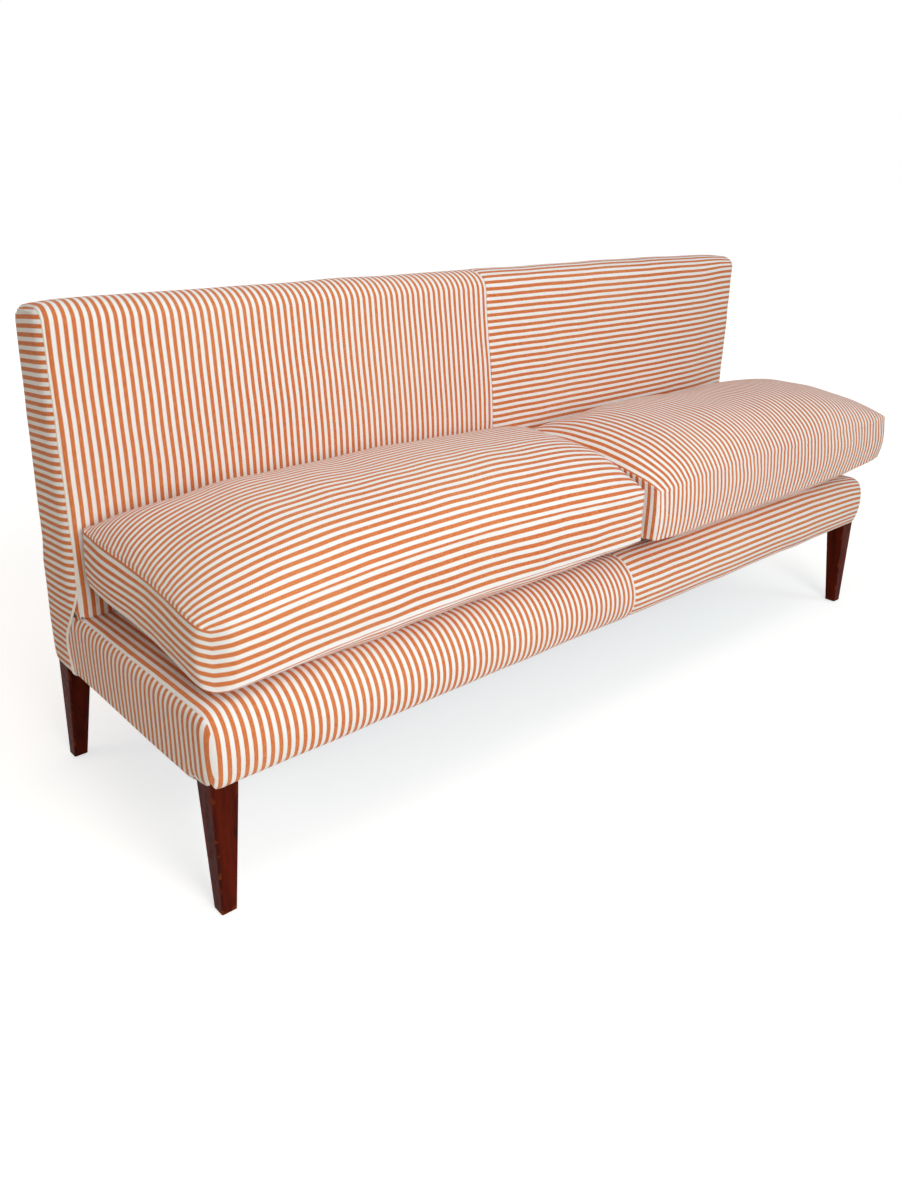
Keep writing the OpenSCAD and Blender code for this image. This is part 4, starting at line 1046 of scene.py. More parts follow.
def panel_surface(rows, y_front, y_rear, columns, outline, seed):
    """A panel's points at the left end: puffed a little, and rounded to its outline."""
    z, inset = rows[:, 0], rows[:, 1]
    near_front = [0, 0.0012, 0.003, 0.006, 0.01, 0.016, 0.026]
    near_rear = [0.974, 0.984, 0.99, 0.994, 0.997, 0.9988, 1]
    t = np.concatenate([near_front, np.linspace(0.04, 0.96, columns), near_rear])
    y = y_front[:, None] * (1 - t) + y_rear[:, None] * t
    zz = np.broadcast_to(z[:, None], y.shape)
    flat_yz = np.stack([y, zz], axis=2).reshape(-1, 2)
    from_edge = distance_to(flat_yz, outline).reshape(y.shape)
    depth = bend(from_edge, PANEL_BEND) + groove(from_edge, *SEAM_GROOVE)
    points = np.stack([-HALF + inset[:, None] + depth, y, zz], axis=2)
    puff = PUFF * np.clip(from_edge / PUFF_REACH, 0, 1) ** 0.7 * (inset[:, None] == 0)
    points[..., 0] -= puff * (0.8 + 0.25 * waves(points, PUFF_WAVE, seed))
    points[..., 0] -= pucker(points, from_edge, seed + 1, 0.45)
    return points


# %% Cover the ends
# The photograph shows 30.5 repeats along the base's end, and 48 down the back's
BASE_END_STRETCH, BACK_END_STRETCH = 30.5 * 14.7 / 484, 48 * 14.7 / 678
TILT, TILT_START = 0.085, 30
# The base's panel ends here at the rear, under the other one, which lies proud of it
UNDER_LAP, UNDER_END, LAP = 10, 526, 0.9

base_line = inset_outline(base_section(np.array([-HALF]))[0], BASE_INSIDE, SEAM_D)
folded_edges = {}
for side, hand in SIDES:
    # The base's end: its front edge follows the base's section, and its rear edge lies
    # under the other panel
    front = base_line[(base_line[:, 0] < 80)]
    top_z = base_line[:, 1].max()
    rows = panel_rows(top_z, 7.0)
    y_front = edge_at(rows[:, 0], front[np.argmin(front[:, 1]) :])
    y_front = np.maximum(y_front, np.where(rows[:, 1] > UNDER_R, rows[:, 1], -99))
    y_rear = np.minimum(panel_edge_y(rows[:, 0]) + UNDER_LAP, UNDER_END)
    outline = np.concatenate([front, [(478, top_z)]])
    points = panel_surface(rows, y_front, y_rear, 46, outline, SEEDS["base_end"][side > 0])
    down = lengths_along(points, 0).mean(axis=1)
    wide = (points[..., 1] + 4.0) * BASE_END_STRETCH
    flat = np.stack([wide, np.broadcast_to(down[:, None], points.shape[:2])], axis=2) * MM
    keep = ~(leg_cells(points, LEG_INSET) | leg_cells(points, REAR_LEG_Y))
    name = "base_end_cloth_" + hand
    mesh = cloth_mesh(name, for_hand(side, points), flat, (0, 250, 300), keep)
    add_cloth(name, "base_end_panel_" + hand, mesh)

    # The back's end: level stripes, and a folded front edge
    section = back_section(np.array([side * HALF]))[0][2:]
    outside = outside_section(np.array([0.0]))[0]
    whole = inset_outline(np.concatenate([section, outside[1:]]), BACK_INSIDE, SEAM_D)
    peak = np.argmax(whole[:, 1])
    rows = panel_rows(whole[peak, 1], 9.0)
    y_front = edge_at(rows[:, 0], whole[: peak + 1])
    folded = np.maximum(y_front, panel_edge_y(rows[:, 0]))
    y_front = np.where(rows[:, 0] < FOLD_TURN, folded, y_front)
    y_rear = edge_at(rows[:, 0], whole[peak:][::-1])
    y_rear = np.where(rows[:, 1] > UNDER_R, REAR - 15 - rows[:, 1] * 0.3, y_rear)
    rear_part = (np.arange(len(whole)) > peak) & (whole[:, 0] > REAR - 14)
    outline = whole[(whole[:, 1] > HEM + 20) | rear_part]
    points = panel_surface(rows, y_front, y_rear, 22, outline, SEEDS["back_end"][side > 0])
    # It lies a cloth's thickness proud of the pieces that it covers, low down
    proud = (CLOTH_T + LAP) * np.clip((FOLD_TURN + 5 - points[..., 2]) / TURN_OVER, 0, 1)
    points[..., 0] -= proud
    # Its stripes fall a little towards the rear
    behind = points[..., 1] - points[:, :1, 1]
    tilt = TILT * behind**2 / (behind + TILT_START)
    flat = np.stack([points[..., 2] * BACK_END_STRETCH + tilt, points[..., 1]], axis=2) * MM
    keep = ~leg_cells(points, REAR_LEG_Y)
    points = for_hand(side, points)
    folded_edges[hand] = points[:, 0][rows[:, 1] < UNDER_R]
    name = "back_end_cloth_" + hand
    mesh = cloth_mesh(name, points, flat, (0, 520, 560), keep)
    add_cloth(name, "back_end_panel_" + hand, mesh)
    print("end panels", hand, "reach", round(float(abs(points[..., 0]).max()), 2), "mm")


# %% [markdown]
# ## The folded edge and its stitches
#
# The back's end panel is sewn on last, by hand: its front edge is folded under and
# blind-stitched, and the fold shows as a cream line. A tube with a flattened
# section follows that line. The stitches are all alike and follow a path, so
# Geometry Nodes places them.


# %% A tube along a path, and pieces set along a path
def tube(path, out, width, height, sides=8):
    """Points and faces of a flattened tube along a path. Out is the way its flat side faces."""
    ahead = np.gradient(path, axis=0)
    ahead /= np.linalg.norm(ahead, axis=1, keepdims=True)
    out = out - ahead * (out * ahead).sum(axis=1, keepdims=True)
    out /= np.linalg.norm(out, axis=1, keepdims=True)
    sideways = np.cross(ahead, out)
    turns = np.arange(sides) * 2 * math.pi / sides
    rings = (
        path[:, None]
        + sideways[:, None] * (np.cos(turns) * width / 2)[None, :, None]
        + out[:, None] * (np.sin(turns)[None, :] * height[:, None] / 2)[..., None]
    )
    n = len(path)
    faces = []
    for i in range(n - 1):
        for j in range(sides):
            m = (j + 1) % sides
            faces.append(tuple(sides * a + b for a, b in ((i, j), (i, m), (i + 1, m), (i + 1, j))))
    faces.append(tuple(range(sides - 1, -1, -1)))
    faces.append(tuple((n - 1) * sides + j for j in range(sides)))
    return rings.reshape(-1, 3), faces


def facing_out(mesh):
    """Turns a closed mesh's faces outwards."""
    work = bmesh.new()
    work.from_mesh(mesh)
    bmesh.ops.remove_doubles(work, verts=work.verts, dist=1e-6)
    bmesh.ops.recalc_face_normals(work, faces=work.faces)
    work.to_mesh(mesh)
    work.free()
    return mesh


def walked_along(path):
    """Length walked along a path to each of its points."""
    return np.concatenate([[0], np.cumsum(np.linalg.norm(np.diff(path, axis=0), axis=1))])


def points_at(path, at):
    """The points of a path at given lengths along it."""
    walked = walked_along(path)
    return np.stack([np.interp(at, walked, values) for values in path.T], axis=1)


def resampled(path, step):
    """A path with its points at even distances."""
    length = walked_along(path)[-1]
    return points_at(path, np.linspace(0, length, max(2, int(length / step)) + 1))


def lowness(path):
    """1 low down on a folded edge, where it faces the end, and 0 where it faces the front."""
    return np.clip((FOLD_TURN - path[:, 2]) / TURN_OVER, 0, 1)


# %% Sew the folded edges
for side, hand in SIDES:
    path = resampled(folded_edges[hand], 6.0)
    out = np.zeros_like(path)
    low = lowness(path)
    out[:, 0] = side * (0.7 + 0.3 * low)
    out[:, 1] = -0.7 * (1 - low)
    points, faces = tube(path + out * (0.3 - 1.5 * low[:, None]), out, 4.4, 2.6 + 2.6 * low)
    mesh = facing_out(make_mesh("folded_edge_" + hand, to_frame(points), faces))
    fold = new_object("folded_edge_" + hand, mesh, cream_fold, "frame", 70)
print("folded edges:", len(path), "points each")

# %% [markdown]
# ## The cushions
#
# Each cushion is a box cushion: a top and a bottom panel with a boxing strip
# between them, filled until it crowns. Its outline draws in between the corners,
# its crown falls to the seams, and its belly is flat only where it rests on the
# deck. The left one is soft at its free front corner, which droops. The right one
# is firm, and its free end lifts. The same rules as in the CAD model shape them
# here on a finer grid, and then the cloth gets its pulls and its seams.

# %% The rules of a cushion's shape
CUSHION = {
    "length": 976.0,
    "depth": 436.0,
    "boxing": 102.0,
    "crown": 110.0,
    "belly": 72.0,
    "seam_rise": 50.0,
    "seam_arch": 12.0,
    "swell": 5.0,
    "side_draw": 6.0,
    "corner_draw": 8.0,
    "joined_draw": 4.0,
    "rear_reach": 34.0,
    "zip_share": 680 / 976,
}
JOINED_SWELL = 0.25
# The square of the distance over which a drawn-in corner fades out
CORNER_FADE = 2300.0


def eased(t):
    return t * t * (3 - 2 * t)


def rounded_corner(x, y, a, b, radius):
    """Moves a point in plan inwards where it lies in the square of a rounded corner."""
    p = np.clip(np.abs(x) - (a - radius), 0, None)
    q = np.clip(np.abs(y) - (b - radius), 0, None)
    r = np.maximum(radius, 1e-6)
    new_p = p * np.sqrt(np.clip(1 - q * q / (2 * r * r), 0, 1))
    new_q = q * np.sqrt(np.clip(1 - p * p / (2 * r * r), 0, 1))
    return x - np.sign(x) * (p - new_p), y - np.sign(y) * (q - new_q)


def past_zip(spec, u):
    """Rises from 0 at the zip's end to 1 at the free end of the cushion."""
    share = CUSHION["zip_share"]
    return eased(np.clip((spec["free"] * u - share) / (1 - share), 0, 1))


def cushion_plan(spec, u, v, swell, e=0.0):
    """Place in plan of a point of the cushion, from its shares u and v of the half sizes."""
    c = CUSHION
    free = spec["free"] * u > 0
    bulge = np.where(free, swell, swell * JOINED_SWELL)
    a = c["length"] / 2 - np.where(free, c["swell"], c["swell"] * JOINED_SWELL) + bulge - e
    b = c["depth"] / 2 - e
    far = ((1 - np.abs(u)) * c["length"] / 2) ** 2 + ((1 - np.abs(v)) * c["depth"] / 2) ** 2
    draw = np.where(free, c["corner_draw"], c["joined_draw"]) * np.exp(-far / CORNER_FADE)
    in_x = np.where(free, c["side_draw"] * (1 - v * v) ** 2, 0) + draw
    in_front = c["side_draw"] * (1 - u * u) ** 2 + draw + c["swell"] - swell
    in_rear = draw - c["rear_reach"] * past_zip(spec, u)
    in_y = np.where(v < 0, in_front, in_rear)
    x = u * (a - in_x * u * u)
    y = v * (b - in_y * v * v)
    at_front = np.where(v < 0, 1.0, 0.0)
    free_r = spec["front_corner"] * at_front + spec["rear_corner"] * (1 - at_front)
    # The seams hold a corner tighter than the swollen boxing between them
    radius = np.where(free, free_r, spec["joined_corner"]) * (0.62 + 0.38 * swell / c["swell"])
    x, y = rounded_corner(x, y, a - in_x, b - in_y, radius)
    in_front, behind = (1 - v) / 2, (1 + v) / 2
    to_joined = (1 - spec["free"] * u) / 2
    x = x + spec["free"] * spec["rear_out"] * past_zip(spec, u) * behind**2
    x = x + spec["free"] * spec["joined_in"] * to_joined**8 * in_front
    y = y - spec["joined_forward"] * to_joined**5 * in_front
    return x, y + spec["sweep"] * (1 - to_joined) * in_front


def crown_share(spec, u, v):
    """How much of the crown's height a point has."""
    free = 1 - np.abs(u) ** (5.3 + 1.1 * v)
    joined = 1 - (1 - 0.33 * (1 + 0.5 * v)) * np.abs(u) ** 8
    along = np.where(spec["free"] * u > 0, free, joined)
    return np.clip(along * (1 - np.abs(v) ** 2.4), 0, None) ** 0.72


def belly_share(u, v):
    return np.clip((1 - np.abs(u) ** 3.6) * (1 - np.abs(v) ** 2.4), 0, None) ** 0.8


def corner_gain(spec, u, v):
    """Height that the free corners gain or lose, at the front and at the rear."""
    at_front = spec["lift"] * ((1 + spec["free"] * u) / 2) ** 3 * ((1 - v) / 2) ** 1.5
    return at_front + spec["rear_lift"] * past_zip(spec, u) * ((1 + v) / 2) ** 1.5


def seam_z(spec, u, v, w, e=0.0):
    """Height of the boxing: at its lower seam where w is 0 and at its upper one where it is 1."""
    c = CUSHION
    gain = corner_gain(spec, u, v)
    low = np.maximum(DECK + c["seam_rise"] + gain, DECK + GAP)
    high = DECK + c["seam_rise"] + c["boxing"] + gain + c["seam_arch"] * (1 - u * u) * v * v
    return np.maximum(low + e, DECK + GAP + e) * (1 - w) + (high - e) * w


def crowd(t):
    s = 2 * t - 1
    return (s + s * (3 - s * s) / 2) / 2


def face_points(spec, u, v, on_top, e=0.0):
    """The cushion's top or belly at a grid of shares, set in by e."""
    x, y = cushion_plan(spec, u, v, 0.0, e)
    if on_top:
        z = seam_z(spec, u, v, 1.0, e) + CUSHION["crown"] * crown_share(spec, u, v)
    else:
        z = seam_z(spec, u, v, 0.0, e) - CUSHION["belly"] * belly_share(u, v)
        z = np.maximum(z, DECK + GAP + e)
    return np.stack([x, y, z], axis=2)


BESIDE_SEAM = np.array([1.3, 2.6, 4.2, 6.6])


def face_line(count, half):
    """Shares across a face: evenly crowded, with more beside the seams."""
    near = 1 - BESIDE_SEAM / half
    between = crowd(np.linspace(0, 1, count))[1:-1]
    between = between[np.abs(between) < near[-1] - 2.0 / half]
    return np.array([-1, *-near, *between, *near[::-1], 1])


u_line, v_line = face_line(136, CUSHION["length"] / 2), face_line(66, CUSHION["depth"] / 2)
up_the_boxing = [0, 1.4, 2.8, 4.6, 7.5, 14, 24, 37, 51, 65, 78, 88, 94.5, 97.4, 99.2, 100.6, 102]
boxing_line = np.array(up_the_boxing) / 102
u_grid, v_grid = np.meshgrid(u_line, v_line, indexing="ij")


def rim_shares():
    """Shares of the points round the cushion, anticlockwise from the front left corner, closed."""
    sides = [
        [(u, -1.0) for u in u_line[:-1]],
        [(1.0, v) for v in v_line[:-1]],
        [(u, 1.0) for u in u_line[::-1][:-1]],
        [(-1.0, v) for v in v_line[::-1][:-1]],
    ]
    ring = [place for part in sides for place in part]
    return np.array([*ring, ring[0]])


def boxing_points(spec, w, e=0.0):
    """The boxing: (places round the rim, rows from the lower seam to the upper), set in by e."""
    ring = rim_shares()
    u, w_grid = np.meshgrid(ring[:, 0], w, indexing="ij")
    v, _ = np.meshgrid(ring[:, 1], w, indexing="ij")
    x, y = cushion_plan(spec, u, v, CUSHION["swell"] * np.sin(np.pi * w_grid), e)
    # At the joined end the boxing is cut higher, up to the crown
    crown = CUSHION["crown"] * crown_share(spec, u, v) * w_grid
    return np.stack([x, y, seam_z(spec, u, v, w_grid, e) + crown], axis=2)


def evenly(points, axis, length):
    """Flat places along one direction: cloth cut to a length lies evenly on the shape."""
    walked = lengths_along(points, axis)
    total = walked[-1:] if axis == 0 else walked[:, -1:]
    return (walked / total - 0.5) * length


# %% Shape the cushions
SPECS = {
    "left": {"free": -1, "lift": -38.0, "sweep": 41.0, "room": 5.0, "inset": 22.0, "seed": 201,
             "front_corner": 56.0, "rear_corner": 24.0, "joined_corner": 10.0,
             "rear_lift": 20.0, "rear_out": 16.0, "joined_in": 0.0, "joined_forward": 0.0,
             "ridge": 0.8},
    "right": {"free": 1, "lift": 24.0, "sweep": -22.0, "room": 16.0, "inset": 4.0, "seed": 301,
              "front_corner": 34.0, "rear_corner": 30.0, "joined_corner": 14.0,
              "rear_lift": 0.0, "rear_out": 0.0, "joined_in": 7.0, "joined_forward": 9.0,
              "ridge": 0.3},
}


def outward_round(points, inside):
    """Outward normals of a closed strip, with no break where its two ends meet."""
    looped = np.concatenate([points[-3:-1], points, points[1:3]])
    return outward(looped, inside)[2:-2]


# How far the cushions' cloth moves, and at what wavelength: broadly, and pulled by the seams
BROAD, BROAD_WAVE, LESSER, LESSER_WAVE = 2.4, 260.0, 0.8, 110.0
PULL, PULL_WAVE, PULL_REACH, HELD_REACH = 1.1, 46.0, 24, 30
# The zip's tape: how far the cloth is pressed in past its edge, fading out, and behind it
TAPE_EDGE, TAPE_FADE, TAPE_ROOM = 6, 22, 0.4


def cushion_pulls(points, out, spec, to_seam):
    """Moves a cushion's points out and in: broad unevenness, and pulls beside the seams."""
    seed, ridge = spec["seed"], spec["ridge"]
    broad = BROAD * waves(points, BROAD_WAVE, seed) + LESSER * waves(points, LESSER_WAVE, seed + 1)
    near = PULL * ridge * waves(points, PULL_WAVE, seed + 2) * np.exp(-to_seam / PULL_REACH)
    held = np.clip(to_seam / HELD_REACH, 0, 1)
    # The turnings inside lift the cloth beside the seam, and the thread holds it down next to that
    turning = groove(to_seam - 2.2, 1.0, 1.6) - groove(to_seam - 7, 0.55, 2.5)
    turning *= ridge
    moved = broad * held + near * np.clip(to_seam / 6, 0, 1)
    moved += turning * np.clip(to_seam / 1.5, 0, 1)
    return points + out * moved[..., None]


def cushion_centre(spec):
    """Where a cushion's middle lies on the bench."""
    centre_x = spec["free"] * (HALF - spec["inset"] - CUSHION["length"] / 2)
    centre_y = SEAT - BACK_BULGE - spec["room"] - CUSHION["depth"] / 2
    return np.array([centre_x, centre_y, 0])


def under_tape(points, hand, centre):
    """Presses the rear boxing in where the zip's tape lies on it."""
    low, high = (np.array(corner) - centre for corner in in_mm(hand + "_cushion_zip"))
    past_x = np.maximum(np.maximum(low[0] - points[..., 0], points[..., 0] - high[0]), 0)
    past_z = np.maximum(np.maximum(low[2] - points[..., 2], points[..., 2] - high[2]), 0)
    share = eased(np.clip(1 - (np.hypot(past_x, past_z) - TAPE_EDGE) / TAPE_FADE, 0, 1))
    pressed = points.copy()
    pressed[..., 1] -= share * np.maximum(points[..., 1] - low[1] + TAPE_ROOM, 0)
    return pressed


def islands_mesh(name, islands):
    """One closed mesh from grids that share their edges. Each island is (points, flat places)."""
    places, faces, corners = [], [], []
    start = 0
    for points, flat, turned in islands:
        rows, columns = points.shape[:2]
        grid = cell_faces(rows, columns, None, start)
        if turned:
            grid = [face[::-1] for face in grid]
        faces += grid
        uv = flat.reshape(-1, 2)
        corners += [uv[k - start] for face in grid for k in face]
        places.append(points.reshape(-1, 3))
        start += rows * columns
    return make_mesh(name, to_frame(np.concatenate(places)), faces, np.array(corners))


# The cloth as cut: its depth in repeats of the stripe, and its length
FLAT_DEPTH, FLAT_LENGTH = 34.5 * STRIPE_REPEAT / MM, 984.0
BOXING_START = 9.1
CUSHION_MIDDLE = np.array([0, 0, DECK + 100])
for hand, spec in SPECS.items():
    c, middle, centre = CUSHION, CUSHION_MIDDLE, cushion_centre(spec)
    # The left cushion's stripes run along it, and the right one's across it
    turn = 1 if hand == "left" else -1
    top = face_points(spec, u_grid, v_grid, True)
    belly = face_points(spec, u_grid, v_grid, False)
    box_grid = boxing_points(spec, boxing_line)
    # Distances to the seam, over the face and over the boxing
    edge_x = (1 - np.abs(u_grid)) * c["length"] / 2
    edge_y = (1 - np.abs(v_grid)) * c["depth"] / 2
    to_seam = np.minimum(edge_x, edge_y)
    nearer_seam = np.minimum(boxing_line, 1 - boxing_line) * c["boxing"]
    box_to_seam = np.broadcast_to(nearer_seam, box_grid.shape[:2])
    top_flat, belly_flat = (
        np.stack([evenly(face, 1, FLAT_DEPTH), evenly(face, 0, FLAT_LENGTH)][::turn], axis=2)
        for face in (top, belly)
    )
    ring = rim_shares()
    higher = c["crown"] * crown_share(spec, ring[:, :1], ring[:, 1:]) * boxing_line
    up = boxing_line * c["boxing"] + BOXING_START + higher
    around = lengths_along(box_grid, 0)[:, 0]
    if turn < 0:
        # The stripes of the front boxing meet those of the top, and run on from there
        front_u, n = top_flat[:, 0, 0], len(u_line)
        around = np.concatenate([front_u, around[n:] + (front_u[-1] - around[n - 1])])
    box_flat = np.stack([up, np.broadcast_to(around[:, None], up.shape)][::turn], axis=2)
    top = cushion_pulls(top, outward(top, middle), spec, to_seam)
    flat_zone = belly[..., 2] < DECK + GAP + 0.5
    pulled = cushion_pulls(belly, outward(belly, middle), spec, to_seam)
    belly = np.where(flat_zone[..., None], belly, pulled)
    belly[..., 2] = np.maximum(belly[..., 2], DECK + GAP)
    box_grid = cushion_pulls(box_grid, outward_round(box_grid, middle), spec, box_to_seam)
    box_grid = under_tape(box_grid, hand, centre)
    islands = []
    for points, flat in ((top, top_flat), (belly, belly_flat), (box_grid, box_flat)):
        turned = np.sum(normals_of(points) * outward(points, middle)) < 0
        islands.append((points + centre, flat * MM, turned))
    mesh = facing_out(islands_mesh("cushion_" + hand, islands))
    made = new_object("cushion_" + hand, mesh, ticking_material, hand + "_cushion", 60)
    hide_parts(hand + "_cushion_cover")
    print("cushion", hand, len(mesh.polygons), "faces")

# %% [markdown]
# ## The legs
#
# The legs are turned out of solid mahogany: square, plumb on their outer faces and
# tapered on the inner ones, with softened edges. Each is built as a tower of rounded
# squares that follows the CAD leg's box, and carries the wear of its edges.


# %% Build the legs
FOOT_Z, FOOT_W = 2.0, 27.0
EDGE_R = 2.2


def leg_mesh(node_name, side, front_y_mm, kick, taper_front):
    """A tapered leg between the floor's glide and the rails, plumb on its outer face."""
    top_z = in_mm(node_name)[1][2]
    outer_x = side * (HALF - LEG_INSET)
    heights = [FOOT_Z, 2.6, 4.5, 30, 80, 130, 180, HEM - 6, HEM + 4, top_z - 1, top_z]
    points, wear, rings = [], [], []
    for z in heights:
        t = min(1.0, (z - FOOT_Z) / (HEM - FOOT_Z))
        width = FOOT_W + (LEG_W - FOOT_W) * t
        inner = outer_x - side * width
        foot_front = kick + ((LEG_W - FOOT_W) if taper_front else 0)
        front = front_y_mm + foot_front * (1 - t)
        shrink = 0.8 if z == FOOT_Z else 0.0
        low_c = (min(outer_x, inner) + shrink, front + shrink)
        high_c = (max(outer_x, inner) - shrink, front + width - shrink)
        ring = []
        for ring_x, ring_y, worn_here in rounded_ring(low_c, high_c, EDGE_R):
            ring.append(len(points))
            points.append((ring_x, ring_y, z))
            wear.append(max(worn_here, 0.8 if z < 5 else 0.0))
        rings.append(ring)
    n = len(rings[0])
    faces = []
    for lower, upper in zip(rings, rings[1:]):
        for k in range(n):
            m = (k + 1) % n
            faces.append((lower[k], lower[m], upper[m], upper[k]))
    faces.append(tuple(rings[0][::-1]))
    faces.append(tuple(rings[-1]))
    mesh = facing_out(make_mesh(node_name + "_wood", to_frame(points), faces))
    layer = mesh.attributes.new("wear", "FLOAT", "POINT")
    layer.data.foreach_set("value", np.array(wear, np.float32)[: len(mesh.vertices)])
    return mesh


def rounded_ring(low, high, radius):
    """Points round a rounded square, anticlockwise, each with its share of wear."""
    ring = []
    centres = [
        (high[0] - radius, high[1] - radius),
        (low[0] + radius, high[1] - radius),
        (low[0] + radius, low[1] + radius),
        (high[0] - radius, low[1] + radius),
    ]
    for quarter, (cx, cy) in enumerate(centres):
        for k in range(5):
            a = math.pi / 2 * (quarter + k / 4)
            ring.append((cx + radius * math.cos(a), cy + radius * math.sin(a), 1.0))
        nx, ny = centres[(quarter + 1) % 4]
        a = math.pi / 2 * (quarter + 1)
        start = np.array(ring[-1][:2])
        end = np.array([nx + radius * math.cos(a), ny + radius * math.sin(a)])
        for t in (0.1, 0.5, 0.9):
            p = start * (1 - t) + end * t
            ring.append((p[0], p[1], 0.0))
    return ring


LEGS = {"front_leg_": (LEG_INSET, 0, False), "rear_leg_": (REAR_LEG_Y, 18, True)}
for name, shape in LEGS.items():
    for side, hand in SIDES:
        node_name = name + hand
        mesh = leg_mesh(node_name, side, *shape)
        leg = new_object(node_name + "_wood", mesh, mahogany, "frame", 40)
        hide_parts(node_name)
print("legs:", len(mesh.polygons), "faces each")

# %% [markdown]
# ## The padding inside
#
# Under the covers lie slabs of foam, cut to the same swollen sections and a little
# smaller, and a thin pad of fibre at each end. They don't show in a finished
# banquette, but the part can be opened or cut, so they are made in full. Each slab
# is lofted through sections taken from the cover's own rule.


# %% Helpers for lofted padding
def first_walk(path, test):
    """Length walked along an outline to its first point that passes a test."""
    return walked_along(path)[np.argmax(test)]


def lofted_mesh(name, x, rings):
    """A closed solid through rings of points in Y and Z at places along X."""
    n = rings.shape[1]
    faces = []
    for i in range(len(x) - 1):
        for j in range(n):
            m = (j + 1) % n
            faces.append(tuple(n * a + b for a, b in ((i, j), (i, m), (i + 1, m), (i + 1, j))))
    faces.append(tuple(range(n)))
    faces.append(tuple((len(x) - 1) * n + j for j in reversed(range(n))))
    return facing_out(make_mesh(name, to_frame(with_x(x, rings).reshape(-1, 3)), faces))


def padding_inset(x):
    """How far the padding lies inside the cover: more beside the seams, where the cover dips."""
    from_end = HALF - SEAM_IN - np.abs(x)
    return 5.2 + bend(from_end, COVER_BEND) + 2.4 * np.exp(-((x / 15) ** 2))


pad_ends = [side * x for side, _ in SIDES for x in (945, 957, 966, 973)]
PAD_X = np.array(sorted({*np.linspace(-930, 930, 63), *pad_ends}))


def add_padding(name, node_name, mesh, finish, body):
    """Makes a padded piece in place of a CAD node."""
    made = new_object(name, mesh, finish, body, 40)
    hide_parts(node_name)


# %% Cut the seat's and the back's foam
pad_low_z = in_mm("seat_hessian")[1][2] + GAP
frame_y = in_mm("back_top_rail")[0][1]
rings = []
for x_at in PAD_X:
    outline = inset_outline(base_section(np.array([x_at]))[0], BASE_INSIDE, padding_inset(x_at))
    start = first_walk(outline, (outline[:, 1] > 247) & (outline[:, 0] < 40))
    stop = first_walk(outline, (outline[:, 0] > frame_y - 20) & (outline[:, 1] > 300))
    top = points_at(outline, np.linspace(start, stop, 60))
    front = LEG_INSET - GAP
    rings.append([*top, (top[-1, 0], pad_low_z), (front, pad_low_z), (front, top[0, 1])])
mesh = lofted_mesh("seat_foam_pad", PAD_X, np.array(rings))
add_padding("seat_foam_pad", "seat_foam", mesh, foam, "frame")

back_plane = in_mm("back_hessian")[0][1] - GAP
back_pad_top = in_mm("back_top_rail")[1][2] + GAP
rings = []
for x_at in PAD_X:
    section = back_section(np.array([x_at]))[0][3:-1]
    outline = inset_outline(section, BACK_INSIDE, padding_inset(x_at))
    start = first_walk(outline, outline[:, 1] > DECK + 8)
    stop = first_walk(outline, (outline[:, 0] > 540) & (outline[:, 1] < back_pad_top + 2))
    stop = stop if stop > start else walked_along(outline)[-1]
    ring = points_at(outline, np.linspace(start, stop, 76))
    corners = [(ring[-1, 0], back_pad_top), (back_plane, back_pad_top), (back_plane, ring[0, 1])]
    rings.append([*ring, *corners])
mesh = lofted_mesh("back_foam_pad", PAD_X, np.array(rings))
add_padding("back_foam_pad", "back_foam", mesh, foam, "frame")
print("foam pads lofted through", len(PAD_X), "sections")


# %% Lay the fibre at the ends
# How far the pad lies inside the covers, and how near to the deck it gives way to them
PAD_IN, NEAR_DECK = 18.0, 24


def end_pad(side):
    """A thin pad inside both end panels of one end: its places and its flat places."""
    rows = np.linspace(HEM + 10, TOP - 16, 60)
    section = back_section(np.array([side * HALF]))[0][2:]
    front_line = section[: np.argmax(section[:, 1]) + 1]
    front_line = front_line[np.argsort(front_line[:, 1], kind="stable")]
    behind = np.interp(rows, front_line[:, 1], front_line[:, 0]) + PAD_IN
    y_front = np.where(rows > DECK - NEAR_DECK, np.maximum(behind, SEAT + PAD_IN), PAD_IN)
    # At the deck it keeps behind the folded edge, where all the covers meet
    at_deck = abs(rows - DECK) < NEAR_DECK
    y_front = np.where(at_deck, np.maximum(y_front, panel_edge_y(rows) + 14), y_front)
    rear_line = [REAR - PAD_IN, REAR - 12, REAR_TOP - 12, REAR_TOP - 30]
    y_rear = np.interp(rows, [HEM, KNEE_Z, TURN_Z, TOP], rear_line)
    t = np.linspace(0, 1, 40)
    y = y_front[:, None] * (1 - t) + y_rear[:, None] * t
    z = np.broadcast_to(rows[:, None], y.shape)
    x = np.full_like(y, -HALF + 2.4)
    edge = np.minimum(y - y_front[:, None], y_rear[:, None] - y)
    x += bend(edge + 10, PANEL_BEND) * 0.8
    return for_hand(side, np.stack([x, y, z], axis=2)), np.stack([y, z], axis=2) * MM


for side, hand in SIDES:
    points, flat = end_pad(side)
    name = "end_fibre_" + hand
    mesh = cloth_mesh(name, points, flat, (0, 500, 560), None, 3.0)
    add_padding(name, "end_wadding_" + hand, mesh, fibre, "frame")


# %% Fill the cushions
def rounded_block(low, high, radius):
    """A foam block with softened edges, as closed places and faces from a bevelled box."""
    work = bmesh.new()
    bmesh.ops.create_cube(work, size=1.0)
    size, centre = np.array(high) - np.array(low), (np.array(high) + np.array(low)) / 2
    for vertex in work.verts:
        vertex.co = Vector(np.array(vertex.co) * size + centre)
    bmesh.ops.bevel(
        work, geom=list(work.edges), offset=radius, segments=3, affect="EDGES", profile=0.5
    )
    work.verts.index_update()
    places = np.array([vertex.co for vertex in work.verts])
    faces = [tuple(vertex.index for vertex in face.verts) for face in work.faces]
    work.free()
    return places, faces


